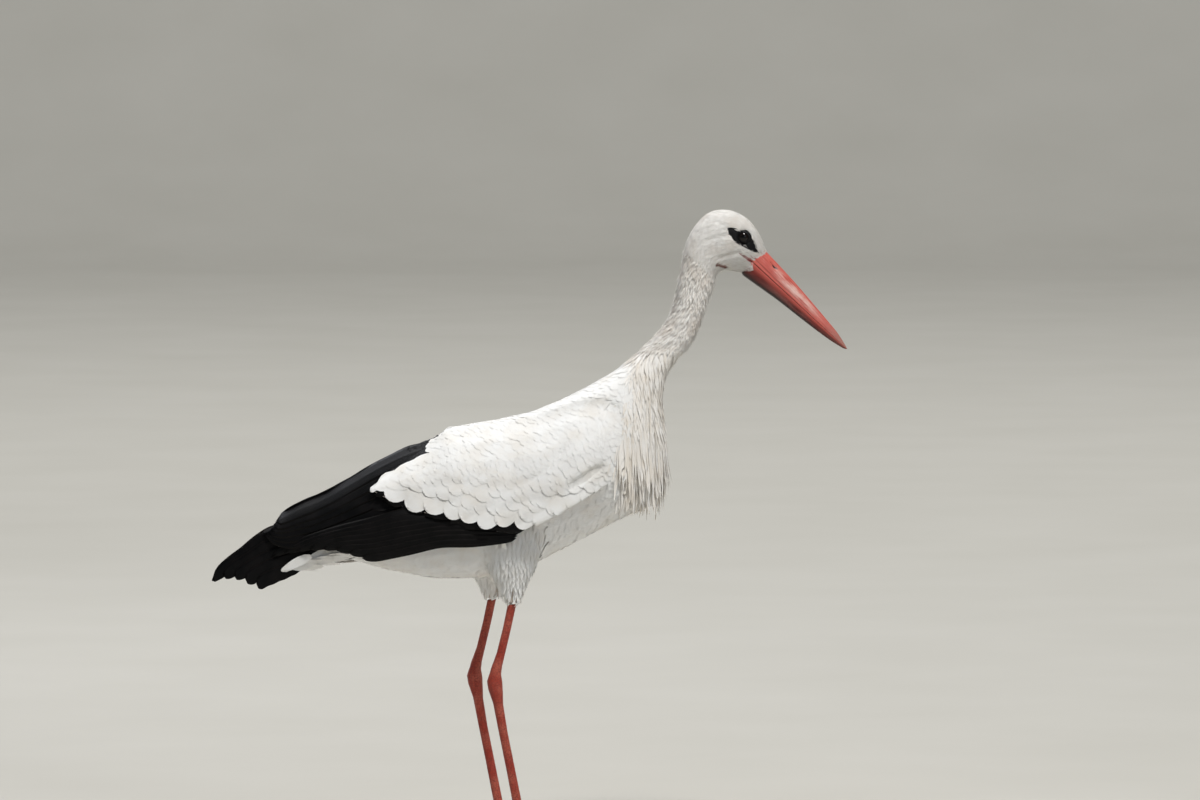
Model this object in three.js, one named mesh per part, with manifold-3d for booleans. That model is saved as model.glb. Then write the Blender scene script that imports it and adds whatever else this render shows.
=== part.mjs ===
// A white stork as a still, life-size model: one closed solid for each part that a person would name.
// Millimetres, +Z up, bill towards +X, the bird's right side at -Y, origin on the floor under the middle.

import * as THREE from "three";
import { mergeVertices } from "three/addons/utils/BufferGeometryUtils.js";
import Module from "manifold-3d";

const wasm = await Module();
wasm.setup();

// ---------------------------------------------------------------- driving dimensions

const GAP = 0.3; // clearance between neighbouring solids
const WELD = 0.08; // corners closer than this are one after a cut
const LAYER_GAP = 0.6; // the same between layers of a wing, whose faces slope across it
const BODY_SIDES = 20; // points round a ring of the body
const LIMB_SIDES = 10; // points round a ring of a leg
const SMALL_SIDES = 8; // points round a ring of a toe or claw
const VANE_POINTS = 6; // points down one face of a folded wing
const ARCH_LEAN = 0.8; // under 1 puts the swell of a folded wing above its middle
const BODY_ROUNDNESS = 2.25; // 2 is an ellipse, more is fuller
const REACH = 900; // larger than the bird, for cutting blocks

// The body is crossed by stations from the bill's root over the head and down the neck to the vent.
// Each runs from a point of the back line to a point of the front line, with its half width.
const HEAD_STATIONS = [
  { back: [296.5, 750], front: [266, 721.5], wide: 12.5 },
  { back: [289.5, 767], front: [258.5, 723], wide: 17.5 },
  { back: [277.5, 785], front: [252, 724.5], wide: 22 },
  { back: [260, 797], front: [246.5, 725], wide: 25 },
  { back: [242.5, 800.6], front: [241.5, 724], wide: 26 },
  { back: [224, 796.5], front: [237.5, 722], wide: 25.5 },
  { back: [207.5, 780], front: [234.5, 718.5], wide: 24 },
  { back: [197, 760], front: [233, 713.5], wide: 22 },
];
const NECK_STATIONS = [
  { back: [191.5, 737], front: [231.5, 705], wide: 20.5 },
  { back: [186.5, 710], front: [227, 691.5], wide: 20 },
  { back: [180.5, 682], front: [220, 673], wide: 20.5 },
  { back: [169.5, 657], front: [212, 648.5], wide: 22 },
  { back: [149, 634.5], front: [198, 625], wide: 25 },
];
const TRUNK_STATIONS = [
  { back: [122.5, 610.5], front: [181, 609], wide: 32 },
  { back: [92, 588.5], front: [169.5, 583], wide: 41 },
  { back: [62, 574], front: [166.5, 557], wide: 50 },
  { back: [28, 557], front: [170, 529], wide: 59 },
  { back: [-8, 544], front: [172.5, 495], wide: 66 },
  { back: [-45, 537], front: [168, 450], wide: 69 },
  { back: [-78, 526], front: [146, 424], wide: 70 },
  { back: [-104, 506], front: [102, 408], wide: 68 },
  { back: [-130, 486], front: [52, 380.5], wide: 63 },
  { back: [-158, 464], front: [-5, 352], wide: 55 },
  { back: [-188, 440], front: [-62, 339], wide: 46 },
  { back: [-216, 420], front: [-122, 339.5], wide: 37 },
  { back: [-240, 404], front: [-180, 351], wide: 27 },
  { back: [-258, 392], front: [-226, 364], wide: 16 },
];
const BREAST_CUT_X = 117; // the hanging breast plumes lie ahead of this plane

// The bill is two horn halves that meet on the gape line and share one axis down to the tip.
const BILL_STATIONS = [
  { top: [297.5, 747.5], gape: [281.5, 733.5], low: [266.8, 719], wide: 13 },
  { top: [313, 731], gape: [298, 719.5], low: [284, 706.5], wide: 11.8 },
  { top: [331, 711.5], gape: [320, 699], low: [309.5, 688.5], wide: 9.8 },
  { top: [350, 689.5], gape: [342, 677.5], low: [335.5, 668], wide: 7.6 },
  { top: [369, 667], gape: [362.5, 659], low: [357.5, 651], wide: 5.4 },
  { top: [386, 647], gape: [381.5, 641.5], low: [378, 636], wide: 3.4 },
  { top: [397.5, 628], gape: [396.2, 627], low: [395, 626], wide: 1.2 },
];
const BILL_PARTING = 0.3; // slit between the two halves
const NOSTRIL = { x: 305.6, z: 730, out: 9, length: 13.5, height: 2.6, depth: 6, slope: 47 };

const EYE = { x: 267.8, z: 767.5, radius: 8.8, out: 14.6 };

// A folded wing is layered feather shells. A station runs from a point of the upper edge to one of the
// lower edge, each as [x, distance out from the middle, z], with a swell between them and a thickness.
const COVERTS = [
  { top: [116.4, 45, 556], low: [116.4, 60, 470], swell: 8, thick: 6 },
  { top: [94, 40, 567], low: [90, 73, 455], swell: 17, thick: 10 },
  { top: [60, 32, 562], low: [61, 82, 438], swell: 23, thick: 14 },
  { top: [20, 24, 548], low: [27, 85, 420], swell: 26, thick: 14 },
  { top: [-24, 17, 539], low: [-12, 84, 402], swell: 26, thick: 13 },
  { top: [-66, 12, 533.5], low: [-52, 81, 404], swell: 24, thick: 12 },
  { top: [-102, 9, 527.5], low: [-92, 75, 413], swell: 22, thick: 11 },
  { top: [-128, 18, 504], low: [-128, 67, 421], swell: 16, thick: 9 },
  { top: [-164, 29, 480], low: [-162, 58, 430], swell: 9, thick: 7 },
  { top: [-199, 39, 456], low: [-197, 46, 447], swell: 1, thick: 4 },
];
const TERTIALS = [
  { top: [-104, 1.5, 522], low: [-98, 62, 458], swell: 12, thick: 5 },
  { top: [-127, 1.5, 513], low: [-126, 59, 440], swell: 13, thick: 6 },
  { top: [-156, 1.5, 504], low: [-160, 53, 420], swell: 13, thick: 6 },
  { top: [-191, 1.5, 486.5], low: [-195, 47, 406], swell: 12, thick: 6 },
  { top: [-225, 1.5, 465], low: [-230, 41, 396], swell: 11, thick: 6 },
  { top: [-257, 2, 446], low: [-264, 35, 386], swell: 9, thick: 6 },
  { top: [-290, 3, 431.5], low: [-298, 28, 384], swell: 7, thick: 5 },
  { top: [-318, 5, 414], low: [-322, 21, 390], swell: 4, thick: 4 },
  { top: [-334, 9, 402], low: [-334, 13, 397], swell: 1, thick: 3 },
];
const SECONDARIES = [
  { top: [-4, 77, 410], low: [-6, 76, 392], swell: 0, thick: 4 },
  { top: [-36, 75, 432], low: [-38, 73, 386.5], swell: 2, thick: 6 },
  { top: [-72, 71, 440], low: [-70, 70, 384], swell: 3, thick: 7 },
  { top: [-110, 65, 444], low: [-108, 64, 384], swell: 4, thick: 7 },
  { top: [-150, 58, 438], low: [-150, 57, 373], swell: 4, thick: 7 },
  { top: [-190, 50, 424], low: [-192, 49, 364], swell: 4, thick: 6 },
  { top: [-230, 42, 412], low: [-236, 40, 367], swell: 4, thick: 6 },
  { top: [-270, 34, 398], low: [-276, 31, 360], swell: 3, thick: 5 },
  { top: [-302, 26, 384], low: [-304, 24, 353], swell: 2, thick: 4 },
  { top: [-322, 20, 372], low: [-324, 19, 362], swell: 0, thick: 3 },
];
const PRIMARIES = [
  { top: [-262, 20, 420], low: [-262, 26, 372], swell: 2, thick: 5 },
  { top: [-296, 15, 416], low: [-292, 23, 347], swell: 2, thick: 5 },
  { top: [-328, 11, 405], low: [-320, 19, 334.5], swell: 2, thick: 5 },
  { top: [-350, 8, 385], low: [-344, 16, 322.5], swell: 2, thick: 4 },
  { top: [-372, 6, 365], low: [-368, 12, 318], swell: 1, thick: 4 },
  { top: [-393, 5, 347], low: [-386, 8, 318.5], swell: 1, thick: 3 },
  { top: [-398, 5, 335], low: [-396.5, 6, 323], swell: 0, thick: 3 },
];
const OUTSIDE = 60; // how far a cutter for the middle of the bird reaches out past a wing

// The short tail lies between the folded wings; half widths grow towards its square end.
const TAIL_STATIONS = [
  { back: [-214, 396], front: [-208, 371], wide: 18 },
  { back: [-250, 383], front: [-246, 365], wide: 24 },
  { back: [-290, 369], front: [-288, 359], wide: 27 },
  { back: [-322, 358.5], front: [-321, 353], wide: 29 },
];

const TAIL_ROOT_X = -216;

// Legs. The thigh is the feathered part, the shank the bare part above the ankle.
const LEG_OUT = 37; // distance of a leg from the middle
const LEFT_LEG_BACK = 26; // the left leg stands this far behind the right one
const THIGH_STATIONS = [
  { back: [-66, 408], front: [22, 408], wide: 27 },
  { back: [-62, 380], front: [18, 378], wide: 25 },
  { back: [-52, 352], front: [8, 352], wide: 19.5 },
  { back: [-39, 328], front: [-3, 330], wide: 13.5 },
  { back: [-29, 308], front: [-10.5, 310], wide: 8.5 },
];
const SHANK_STATIONS = [
  { back: [-25.5, 312], front: [-14.5, 314], wide: 5.2 },
  { back: [-32, 280], front: [-21.5, 282], wide: 5 },
  { back: [-40, 248], front: [-29, 250], wide: 5.2 },
  { back: [-47, 229], front: [-33.5, 231], wide: 6.8 },
  { back: [-49, 222], front: [-34.5, 222], wide: 7.8 },
];
const TARSUS_STATIONS = [
  { back: [-49.5, 221], front: [-34.5, 221], wide: 8 },
  { back: [-52, 213], front: [-33, 212], wide: 9.2 },
  { back: [-50.5, 203], front: [-32.5, 201], wide: 8.6 },
  { back: [-44.5, 186], front: [-32, 184], wide: 6.2 },
  { back: [-37.5, 150], front: [-26.5, 149], wide: 5 },
  { back: [-27.5, 100], front: [-16.5, 99], wide: 4.8 },
  { back: [-18, 50], front: [-6.5, 49], wide: 5.2 },
  { back: [-14, 27], front: [-0.5, 26], wide: 6.6 },
  { back: [-13, 17], front: [1.5, 16], wide: 7.4 },
];
const FOOT_X = -5; // the ball of the right foot
const BALL = { radius: 8.6, height: 8, squeeze: 0.93 };
const TOES = [
  { name: "inner", length: 58, angle: 27, joints: 2, claw: 12 },
  { name: "middle", length: 72, angle: -2, joints: 3, claw: 13 },
  { name: "outer", length: 62, angle: -33, joints: 3, claw: 12 },
  { name: "hind", length: 21, angle: 172, joints: 1, claw: 9 },
];
const TOE = { rootRadius: 5.6, tipRadius: 4, padSwell: 0.9, sink: 0.7, steps: 7 };
const CLAW = { radius: 3, tipRadius: 0.9, lift: 0.5, droop: 1.2, steps: 3 };
const WEB = { length: 24, thick: 3.2, height: 3.6 };

// ---------------------------------------------------------------- geometry helpers

/** A smooth curve through points, evenly spaced in its own parameter. */
function through(points) {
  return new THREE.CatmullRomCurve3(points, false, "catmullrom", 0.5);
}

/** A closed surface through rings of equal size, each end closed by a fan to its middle. */
function skinThrough(rings) {
  const size = rings[0].length;
  const points = rings.flat();
  const faces = [];
  for (let row = 0; row + 1 < rings.length; row++) {
    for (let i = 0; i < size; i++) {
      const a = row * size + i;
      const b = row * size + ((i + 1) % size);
      faces.push(a, b, b + size, a, b + size, a + size);
    }
  }
  for (const [row, turned] of [[0, true], [rings.length - 1, false]]) {
    const middle = new THREE.Vector3();
    rings[row].forEach((point) => middle.addScaledVector(point, 1 / size));
    const centre = points.push(middle) - 1;
    for (let i = 0; i < size; i++) {
      const a = row * size + i;
      const b = row * size + ((i + 1) % size);
      faces.push(...(turned ? [centre, b, a] : [centre, a, b]));
    }
  }
  return new THREE.BufferGeometry().setFromPoints(points).setIndex(faces);
}

/** The triangles of an index that still have three corners of their own after a weld. */
function fullTriangles(index) {
  const kept = [];
  for (let i = 0; i < index.length; i += 3) {
    const [a, b, c] = index.subarray(i, i + 3);
    if (a !== b && b !== c && c !== a) kept.push(a, b, c);
  }
  return kept;
}

/** A closed three.js geometry as a solid, turned to face out when it was built inside out. */
function solid(geometry, tolerance = 1e-4) {
  const bare = geometry.clone();
  bare.deleteAttribute("normal");
  bare.deleteAttribute("uv");
  const merged = mergeVertices(bare, tolerance);
  const vertProperties = new Float32Array(merged.attributes.position.array);
  const triVerts = new Uint32Array(fullTriangles(merged.index.array));
  const made = new wasm.Manifold(new wasm.Mesh({ numProp: 3, vertProperties, triVerts }));
  if (made.volume() >= 0) return made;
  for (let i = 0; i < triVerts.length; i += 3) {
    [triVerts[i + 1], triVerts[i + 2]] = [triVerts[i + 2], triVerts[i + 1]];
  }
  return new wasm.Manifold(new wasm.Mesh({ numProp: 3, vertProperties, triVerts }));
}

/** The largest piece of a solid, its near corners welded, so that a cut leaves no crumbs or slivers. */
function mainPiece(made) {
  const largest = made.decompose().reduce((best, piece) => (piece.volume() > best.volume() ? piece : best));
  return solid(geometryOf(largest), WELD);
}

/** A solid back as a three.js geometry, flat shaded. */
function geometryOf(made) {
  const { numProp, vertProperties, triVerts } = made.getMesh();
  const positions = [];
  for (const i of triVerts) {
    positions.push(...vertProperties.subarray(i * numProp, i * numProp + 3));
  }
  const geometry = new THREE.BufferGeometry();
  geometry.setAttribute("position", new THREE.Float32BufferAttribute(positions, 3));
  geometry.computeVertexNormals();
  return geometry;
}

/** A box from its lowest to its highest corner. */
function block(low, high) {
  const size = high.map((value, i) => value - low[i]);
  const middle = high.map((value, i) => (value + low[i]) / 2);
  return solid(new THREE.BoxGeometry(...size).translate(...middle));
}

/** Everything ahead of a plane across the bird. */
function aheadOf(x) {
  return block([x, -REACH, -REACH], [REACH, REACH, REACH]);
}

/** Signed power, which fills out an ellipse towards a rounded box. */
function fuller(value, roundness) {
  return Math.sign(value) * Math.abs(value) ** (2 / roundness);
}

/** One ring across a round part: from its back point to its front point, half as wide as given. */
function roundRing(back, front, wide, sides, roundness) {
  const ring = [];
  const middle = back.clone().add(front).multiplyScalar(0.5);
  const half = back.clone().sub(middle);
  for (let i = 0; i < sides; i++) {
    const angle = (2 * Math.PI * i) / sides;
    const point = middle.clone().addScaledVector(half, fuller(Math.cos(angle), roundness));
    point.y += wide * fuller(Math.sin(angle), roundness);
    ring.push(point);
  }
  return ring;
}

/** Rings of a round part through its stations, from one place on the list to another. */
function roundRings(stations, options = {}) {
  const last = stations.length - 1;
  const { from = 0, to = last, steps = 2 } = options;
  const { out = 0, grow = 0, sides = BODY_SIDES, roundness = BODY_ROUNDNESS } = options;
  const backLine = through(stations.map(({ back }) => new THREE.Vector3(back[0], out, back[1])));
  const frontLine = through(stations.map(({ front }) => new THREE.Vector3(front[0], out, front[1])));
  const widths = through(stations.map(({ wide }) => new THREE.Vector3(wide, 0, 0)));
  const count = Math.round((to - from) * steps);
  const rings = [];
  for (let i = 0; i <= count; i++) {
    const t = (from + ((to - from) * i) / count) / last;
    const back = backLine.getPoint(t);
    const front = frontLine.getPoint(t);
    const along = back.clone().sub(front).setLength(grow);
    rings.push(roundRing(back.add(along), front.sub(along), widths.getPoint(t).x + grow, sides, roundness));
  }
  return rings;
}

/** A layer of a folded wing on the bird's right side, as a cutter if grown all round or far outwards. */
function wingShell(stations, { steps = 1, grow = 0, outward = grow } = {}) {
  const last = (stations.length - 1) * steps;
  const vector = ([x, out, z]) => new THREE.Vector3(x, -out, z);
  const upper = through(stations.map(({ top }) => vector(top)));
  const lower = through(stations.map(({ low }) => vector(low)));
  const bodies = through(stations.map(({ swell, thick }) => new THREE.Vector3(swell, thick, 0)));
  const rings = [];
  for (let i = 0; i <= last; i++) {
    const t = i / last;
    const { x: swell, y: thick } = bodies.getPoint(t);
    const top = upper.getPoint(t);
    const low = lower.getPoint(t);
    const ahead = i === 0 ? grow : i === last ? -grow : 0;
    const outer = [];
    const inner = [];
    for (let j = 0; j <= VANE_POINTS; j++) {
      const share = j / VANE_POINTS;
      const arch = Math.sin(Math.PI * share ** ARCH_LEAN);
      const point = top.clone().lerp(low, share);
      point.y -= swell * arch;
      outer.push(point.clone().add(new THREE.Vector3(ahead, -outward, grow * (1 - 2 * share))));
      point.y += thick * (0.35 + 0.65 * arch);
      inner.unshift(point.add(new THREE.Vector3(ahead, grow, j === 0 ? grow : -grow)));
    }
    rings.push([...outer, ...inner]);
  }
  return solid(skinThrough(rings));
}

/** A geometry reflected in the bird's middle plane. */
function mirrored(made) {
  return solid(mergeVertices(geometryOf(made).deleteAttribute("normal")).scale(1, -1, 1));
}

// ---------------------------------------------------------------- head, neck and trunk

const figure = [...HEAD_STATIONS, ...NECK_STATIONS, ...TRUNK_STATIONS];
const neckStart = HEAD_STATIONS.length - 0.5;
const trunkStart = HEAD_STATIONS.length + NECK_STATIONS.length - 0.5;
const parting = 0.012; // half the cut between two parts of the body, in stations

/** A stretch of the body between two places on its list of stations. */
function bodyStretch(from, to, steps) {
  return solid(skinThrough(roundRings(figure, { from, to, steps })));
}

/** The ball of one eye, at the bird's right side. */
function eyeball(grow = 0) {
  const ball = new THREE.SphereGeometry(EYE.radius + grow, 12, 8);
  return solid(ball.translate(EYE.x, -EYE.out, EYE.z));
}

function makeHead() {
  const whole = bodyStretch(0, neckStart - parting, 2);
  const socket = eyeball(GAP);
  return whole.subtract(socket).subtract(mirrored(socket));
}

function makeNeck() {
  return bodyStretch(neckStart + parting, trunkStart - parting, 2);
}

/** The breast is the part of the trunk ahead of a plane, the rest is the trunk. */
const torso = bodyStretch(trunkStart + parting, figure.length - 1, 1);

function makeBreast() {
  return mainPiece(torso.intersect(aheadOf(BREAST_CUT_X)));
}

// ---------------------------------------------------------------- bill

/** One half of the bill, between two of the lines along it. */
function billHalf(upperLine, lowerLine, opening) {
  const stations = BILL_STATIONS.map((station) => {
    const back = new THREE.Vector2(...station[upperLine]);
    const front = new THREE.Vector2(...station[lowerLine]);
    const slit = back.clone().sub(front).setLength(BILL_PARTING / 2);
    if (opening === "below") front.add(slit);
    else back.sub(slit);
    return { back: back.toArray(), front: front.toArray(), wide: station.wide };
  });
  return solid(skinThrough(wedgeRings(stations, opening)));
}

/** Rings with a flat side on the gape line and a round side away from it. */
function wedgeRings(stations, opening) {
  const flatFirst = opening === "above";
  return roundRings(stations, { sides: LIMB_SIDES * 2, roundness: 2, steps: 1 }).map((ring) => {
    const back = ring[0];
    const front = ring[LIMB_SIDES];
    const flat = flatFirst ? back : front;
    const round = flatFirst ? front : back;
    const wide = Math.max(...ring.map((point) => point.y));
    return ring.map((point, i) => {
      const angle = (2 * Math.PI * i) / ring.length;
      const height = Math.abs(Math.cos(angle));
      const onRound = flatFirst ? Math.cos(angle) < 0 : Math.cos(angle) > 0;
      const place = flat.clone().lerp(round, onRound ? height : 0);
      place.y = wide * Math.sin(angle);
      return place;
    });
  });
}

function makeUpperBill() {
  const slit = new THREE.SphereGeometry(0.5, SMALL_SIDES, 6)
    .scale(NOSTRIL.length, NOSTRIL.depth, NOSTRIL.height)
    .rotateY(THREE.MathUtils.degToRad(NOSTRIL.slope))
    .translate(NOSTRIL.x, -NOSTRIL.out, NOSTRIL.z);
  const nostril = solid(slit);
  return billHalf("top", "gape", "below").subtract(nostril).subtract(mirrored(nostril));
}

// ---------------------------------------------------------------- wings and tail

// The layers from the outermost in; each is cut back from those before it.
const WING_LAYERS = [
  { name: "coverts", stations: COVERTS, steps: 1, material: "white" },
  { name: "tertials", stations: TERTIALS, steps: 1, material: "black" },
  { name: "secondaries", stations: SECONDARIES, steps: 1, material: "black" },
  { name: "primaries", stations: PRIMARIES, steps: 1, material: "black" },
];

/** The layers of the right wing, each a solid that stays on its own side of the bird. */
function makeWing() {
  const otherSide = block([-REACH, -GAP / 2, -REACH], [REACH, REACH, REACH]);
  let taken = otherSide;
  const made = {};
  for (const { name, stations, steps } of WING_LAYERS) {
    made[name] = mainPiece(wingShell(stations, { steps }).subtract(taken));
    taken = taken.add(wingShell(stations, { steps, grow: LAYER_GAP }));
  }
  return made;
}

const wing = makeWing();
const wingRooms = WING_LAYERS.map(
  ({ stations, steps }) => wingShell(stations, { steps, grow: LAYER_GAP, outward: OUTSIDE }));

/** A solid of the middle of the bird, cleared of both folded wings. */
function clearOfWings(made) {
  return wingRooms.reduce((left, room) => left.subtract(room).subtract(mirrored(room)), made);
}

/** The tail before the wings are cut from it, optionally grown all round as a cutter. */
function tailBlade(grow = 0) {
  return solid(skinThrough(roundRings(TAIL_STATIONS, { sides: 14, roundness: 3, steps: 1, grow })));
}

function makeTail() {
  return mainPiece(clearOfWings(tailBlade()).subtract(aheadOf(TAIL_ROOT_X)));
}

// ---------------------------------------------------------------- legs and feet

/** A round part of a leg, at the right leg's own distance out. */
function limb(stations, grow = 0, sides = LIMB_SIDES) {
  return solid(skinThrough(roundRings(stations, { out: -LEG_OUT, sides, roundness: 2, steps: 1, grow })));
}

/** A toe along +X from the foot's ball, padded at its joints and flat underneath. */
function toe({ length, joints }) {
  const stations = [];
  for (let i = 0; i <= TOE.steps; i++) {
    const share = i / TOE.steps;
    const pad = 1 + 0.16 * Math.sin(Math.PI * (share * (joints + 1) - 0.5));
    const blunt = share > 0.97 ? 0.75 : 1;
    const radius = THREE.MathUtils.lerp(TOE.rootRadius, TOE.tipRadius, share) * pad * blunt;
    const x = share * length;
    const low = share > 0.97 ? 0 : -TOE.sink;
    stations.push({ back: [x, low + 2 * radius * TOE.padSwell], front: [x, low], wide: radius });
  }
  return skinThrough(roundRings(stations, { sides: SMALL_SIDES, roundness: 2, steps: 1 }));
}

/** A blunt claw ahead of a toe of a given length. */
function claw({ length, claw: reach }) {
  const stations = [];
  for (let i = 0; i <= CLAW.steps; i++) {
    const share = i / CLAW.steps;
    const radius = THREE.MathUtils.lerp(CLAW.radius, CLAW.tipRadius, share ** 1.3);
    const x = length + GAP + share * reach;
    const low = CLAW.lift + CLAW.droop * (1 - share);
    stations.push({ back: [x, low + 2 * radius], front: [x, low], wide: radius * 0.8 });
  }
  return skinThrough(roundRings(stations, { sides: SMALL_SIDES, roundness: 2, steps: 1 }));
}

/** Turns a toe or claw to its own angle and sets it at the right foot. */
function atFoot(geometry, angle) {
  return geometry.rotateZ(THREE.MathUtils.degToRad(angle)).translate(FOOT_X, -LEG_OUT, 0);
}

/** The small webs between the roots of the three front toes. */
function makeWeb() {
  const shape = new THREE.Shape([new THREE.Vector2(0, 0)]);
  for (const { angle } of TOES.slice(0, 3)) {
    const turn = THREE.MathUtils.degToRad(angle);
    shape.lineTo(WEB.length * Math.cos(turn), WEB.length * Math.sin(turn));
  }
  const plate = new THREE.ExtrudeGeometry(shape, { depth: WEB.thick, bevelEnabled: false });
  return solid(plate.translate(FOOT_X, -LEG_OUT, WEB.height - WEB.thick / 2));
}

function makeFoot() {
  const ball = new THREE.SphereGeometry(BALL.radius, LIMB_SIDES, SMALL_SIDES)
    .scale(1, BALL.squeeze, 1)
    .translate(FOOT_X, -LEG_OUT, BALL.height);
  const floor = block([-REACH, -REACH, -REACH], [REACH, REACH, 0]);
  const joined = TOES.reduce(
    (foot, each) => foot.add(solid(atFoot(toe(each), each.angle))),
    solid(ball).add(makeWeb()));
  return mainPiece(joined.subtract(limb(TARSUS_STATIONS, GAP)).subtract(floor));
}

// ---------------------------------------------------------------- materials

const finish = (color, roughness) => new THREE.MeshStandardMaterial({ color, roughness, metalness: 0 });
const whiteFeather = finish("#efece6", 0.9);
const blackFeather = finish("#17161a", 0.6);
const redHorn = finish("#b8452f", 0.45);
const redLeg = finish("#b5503a", 0.6);
const darkHorn = finish("#2b2523", 0.5);
const darkEye = finish("#0b0a0a", 0.12);

// ---------------------------------------------------------------- the bird

const stork = new THREE.Group();

function addMesh(parent, name, made, material) {
  const mesh = new THREE.Mesh(geometryOf(made), material);
  mesh.name = name;
  parent.add(mesh);
  return mesh;
}

addMesh(stork, "head", makeHead(), whiteFeather);
addMesh(stork, "neck", makeNeck(), whiteFeather);
addMesh(stork, "breast", makeBreast(), whiteFeather);
addMesh(stork, "bill_upper", makeUpperBill(), redHorn);
addMesh(stork, "bill_lower", billHalf("gape", "low", "above"), redHorn);
addMesh(stork, "tail", makeTail(), whiteFeather);

const thigh = limb(THIGH_STATIONS, 0, BODY_SIDES);
const thighCutter = limb(THIGH_STATIONS, GAP, BODY_SIDES);
const shank = mainPiece(limb(SHANK_STATIONS).subtract(thighCutter));
const foot = makeFoot();

for (const side of ["right", "left"]) {
  const half = new THREE.Group();
  half.scale.y = side === "right" ? 1 : -1;
  stork.add(half);
  addMesh(half, `eye_${side}`, eyeball(), darkEye);
  for (const { name, material } of WING_LAYERS) {
    const feather = material === "white" ? whiteFeather : blackFeather;
    addMesh(half, `wing_${side}_${name}`, wing[name], feather);
  }

  const leg = new THREE.Group();
  leg.position.x = side === "right" ? 0 : -LEFT_LEG_BACK;
  half.add(leg);
  addMesh(leg, `thigh_${side}`, thigh, whiteFeather);
  addMesh(leg, `shank_${side}`, shank, redLeg);
  addMesh(leg, `tarsus_${side}`, limb(TARSUS_STATIONS), redLeg);
  addMesh(leg, `foot_${side}`, foot, redLeg);
  for (const each of TOES) {
    addMesh(leg, `claw_${side}_${each.name}`, solid(atFoot(claw(each), each.angle)), darkHorn);
  }
}

const breastSpace = aheadOf(BREAST_CUT_X - GAP);
const leftThighCutter = mirrored(thighCutter).translate([-LEFT_LEG_BACK, 0, 0]);
const tailSpace = tailBlade(GAP).subtract(aheadOf(TAIL_ROOT_X + GAP));
const trunk = mainPiece([breastSpace, thighCutter, leftThighCutter, tailSpace].reduce(
  (left, cutter) => left.subtract(cutter), clearOfWings(torso)));
addMesh(stork, "trunk", trunk, whiteFeather);

export default stork;
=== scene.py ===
import math
from functools import partial

import bmesh
import bpy
import numpy as np
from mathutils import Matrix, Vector, noise
from mathutils.bvhtree import BVHTree


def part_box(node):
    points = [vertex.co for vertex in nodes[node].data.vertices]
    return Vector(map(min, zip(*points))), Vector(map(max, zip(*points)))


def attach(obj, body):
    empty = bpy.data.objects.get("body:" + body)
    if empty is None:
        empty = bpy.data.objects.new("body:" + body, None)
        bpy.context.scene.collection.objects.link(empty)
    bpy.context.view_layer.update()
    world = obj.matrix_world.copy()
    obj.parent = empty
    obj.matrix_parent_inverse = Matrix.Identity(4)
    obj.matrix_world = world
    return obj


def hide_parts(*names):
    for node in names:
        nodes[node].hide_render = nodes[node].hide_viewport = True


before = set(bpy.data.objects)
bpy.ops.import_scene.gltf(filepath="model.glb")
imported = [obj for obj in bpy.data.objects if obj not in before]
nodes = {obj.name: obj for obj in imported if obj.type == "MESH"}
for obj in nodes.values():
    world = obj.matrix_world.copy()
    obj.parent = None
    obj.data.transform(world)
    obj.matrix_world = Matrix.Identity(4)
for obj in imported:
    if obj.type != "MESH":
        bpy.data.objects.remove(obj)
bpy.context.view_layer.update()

# A white stork, life size: bill towards +X, its right side towards -Y. Metres.
mm = 0.001
sides = {"right": -1.0, "left": 1.0}  # which way along Y each side of the bird lies
mainSettings = "operation", "interpolation_type", "data_type"  # the first that a node has is its main setting


def srgb(code):
    values = [int(code[i:i + 2], 16) / 255 for i in (1, 3, 5)]
    return (*[v / 12.92 if v <= 0.04045 else ((v + 0.055) / 1.055) ** 2.4 for v in values], 1.0)


def addNode(tree, kind, *values, **named):
    # one node: values fill its inputs in order, capital names fill inputs by name, the rest are settings;
    # a node given as a value stands for its first output, and a word after the kind is its main setting
    kind, _, word = kind.partition(" ")
    starts = (tree.bl_idname[:-4], "FunctionNode", "ShaderNode", "Node")
    node = tree.nodes.new(next(start + kind for start in starts if hasattr(bpy.types, start + kind)))
    if word:
        setattr(node, next(s for s in mainSettings if hasattr(node, s)), word)
    inputs = list(enumerate(values))
    for name, value in named.items():
        if name[0].isupper():
            inputs.append((name.replace("_", " "), value))
        else:
            setattr(node, name, value)
    for key, value in inputs:
        target = node.inputs[key] if isinstance(key, int) else next(
            s for s in node.inputs if s.name == key and s.enabled)
        if isinstance(value, bpy.types.Node):
            value = next(s for s in value.outputs if s.enabled)
        if isinstance(value, bpy.types.NodeSocket):
            tree.links.new(value, target)
        else:
            target.default_value = srgb(value) if isinstance(value, str) and value[0] == "#" else value
    return node


def newMaterial(name, roughness, **constants):
    # the material, a way to add its nodes, and the place on the object
    material = bpy.data.materials.new(name)
    material.use_nodes = True
    shader = material.node_tree.nodes["Principled BSDF"]
    for socket, value in {"Roughness": roughness, **constants}.items():
        shader.inputs[socket.replace("_", " ")].default_value = value
    add = partial(addNode, material.node_tree)
    return material, add, add("TexCoord").outputs["Object"]


def layered(add, colour, other, *masks, share=None):
    # lays another colour over the first by the product of its masks: values, or ramps (value, from, to)
    for mask in masks:
        if isinstance(mask, tuple):
            mask = add("MapRange SMOOTHSTEP", *mask)
        share = mask if share is None else add("Math MULTIPLY", mask, share)
    return add("Mix RGBA", share, A=colour, B=other)


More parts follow.
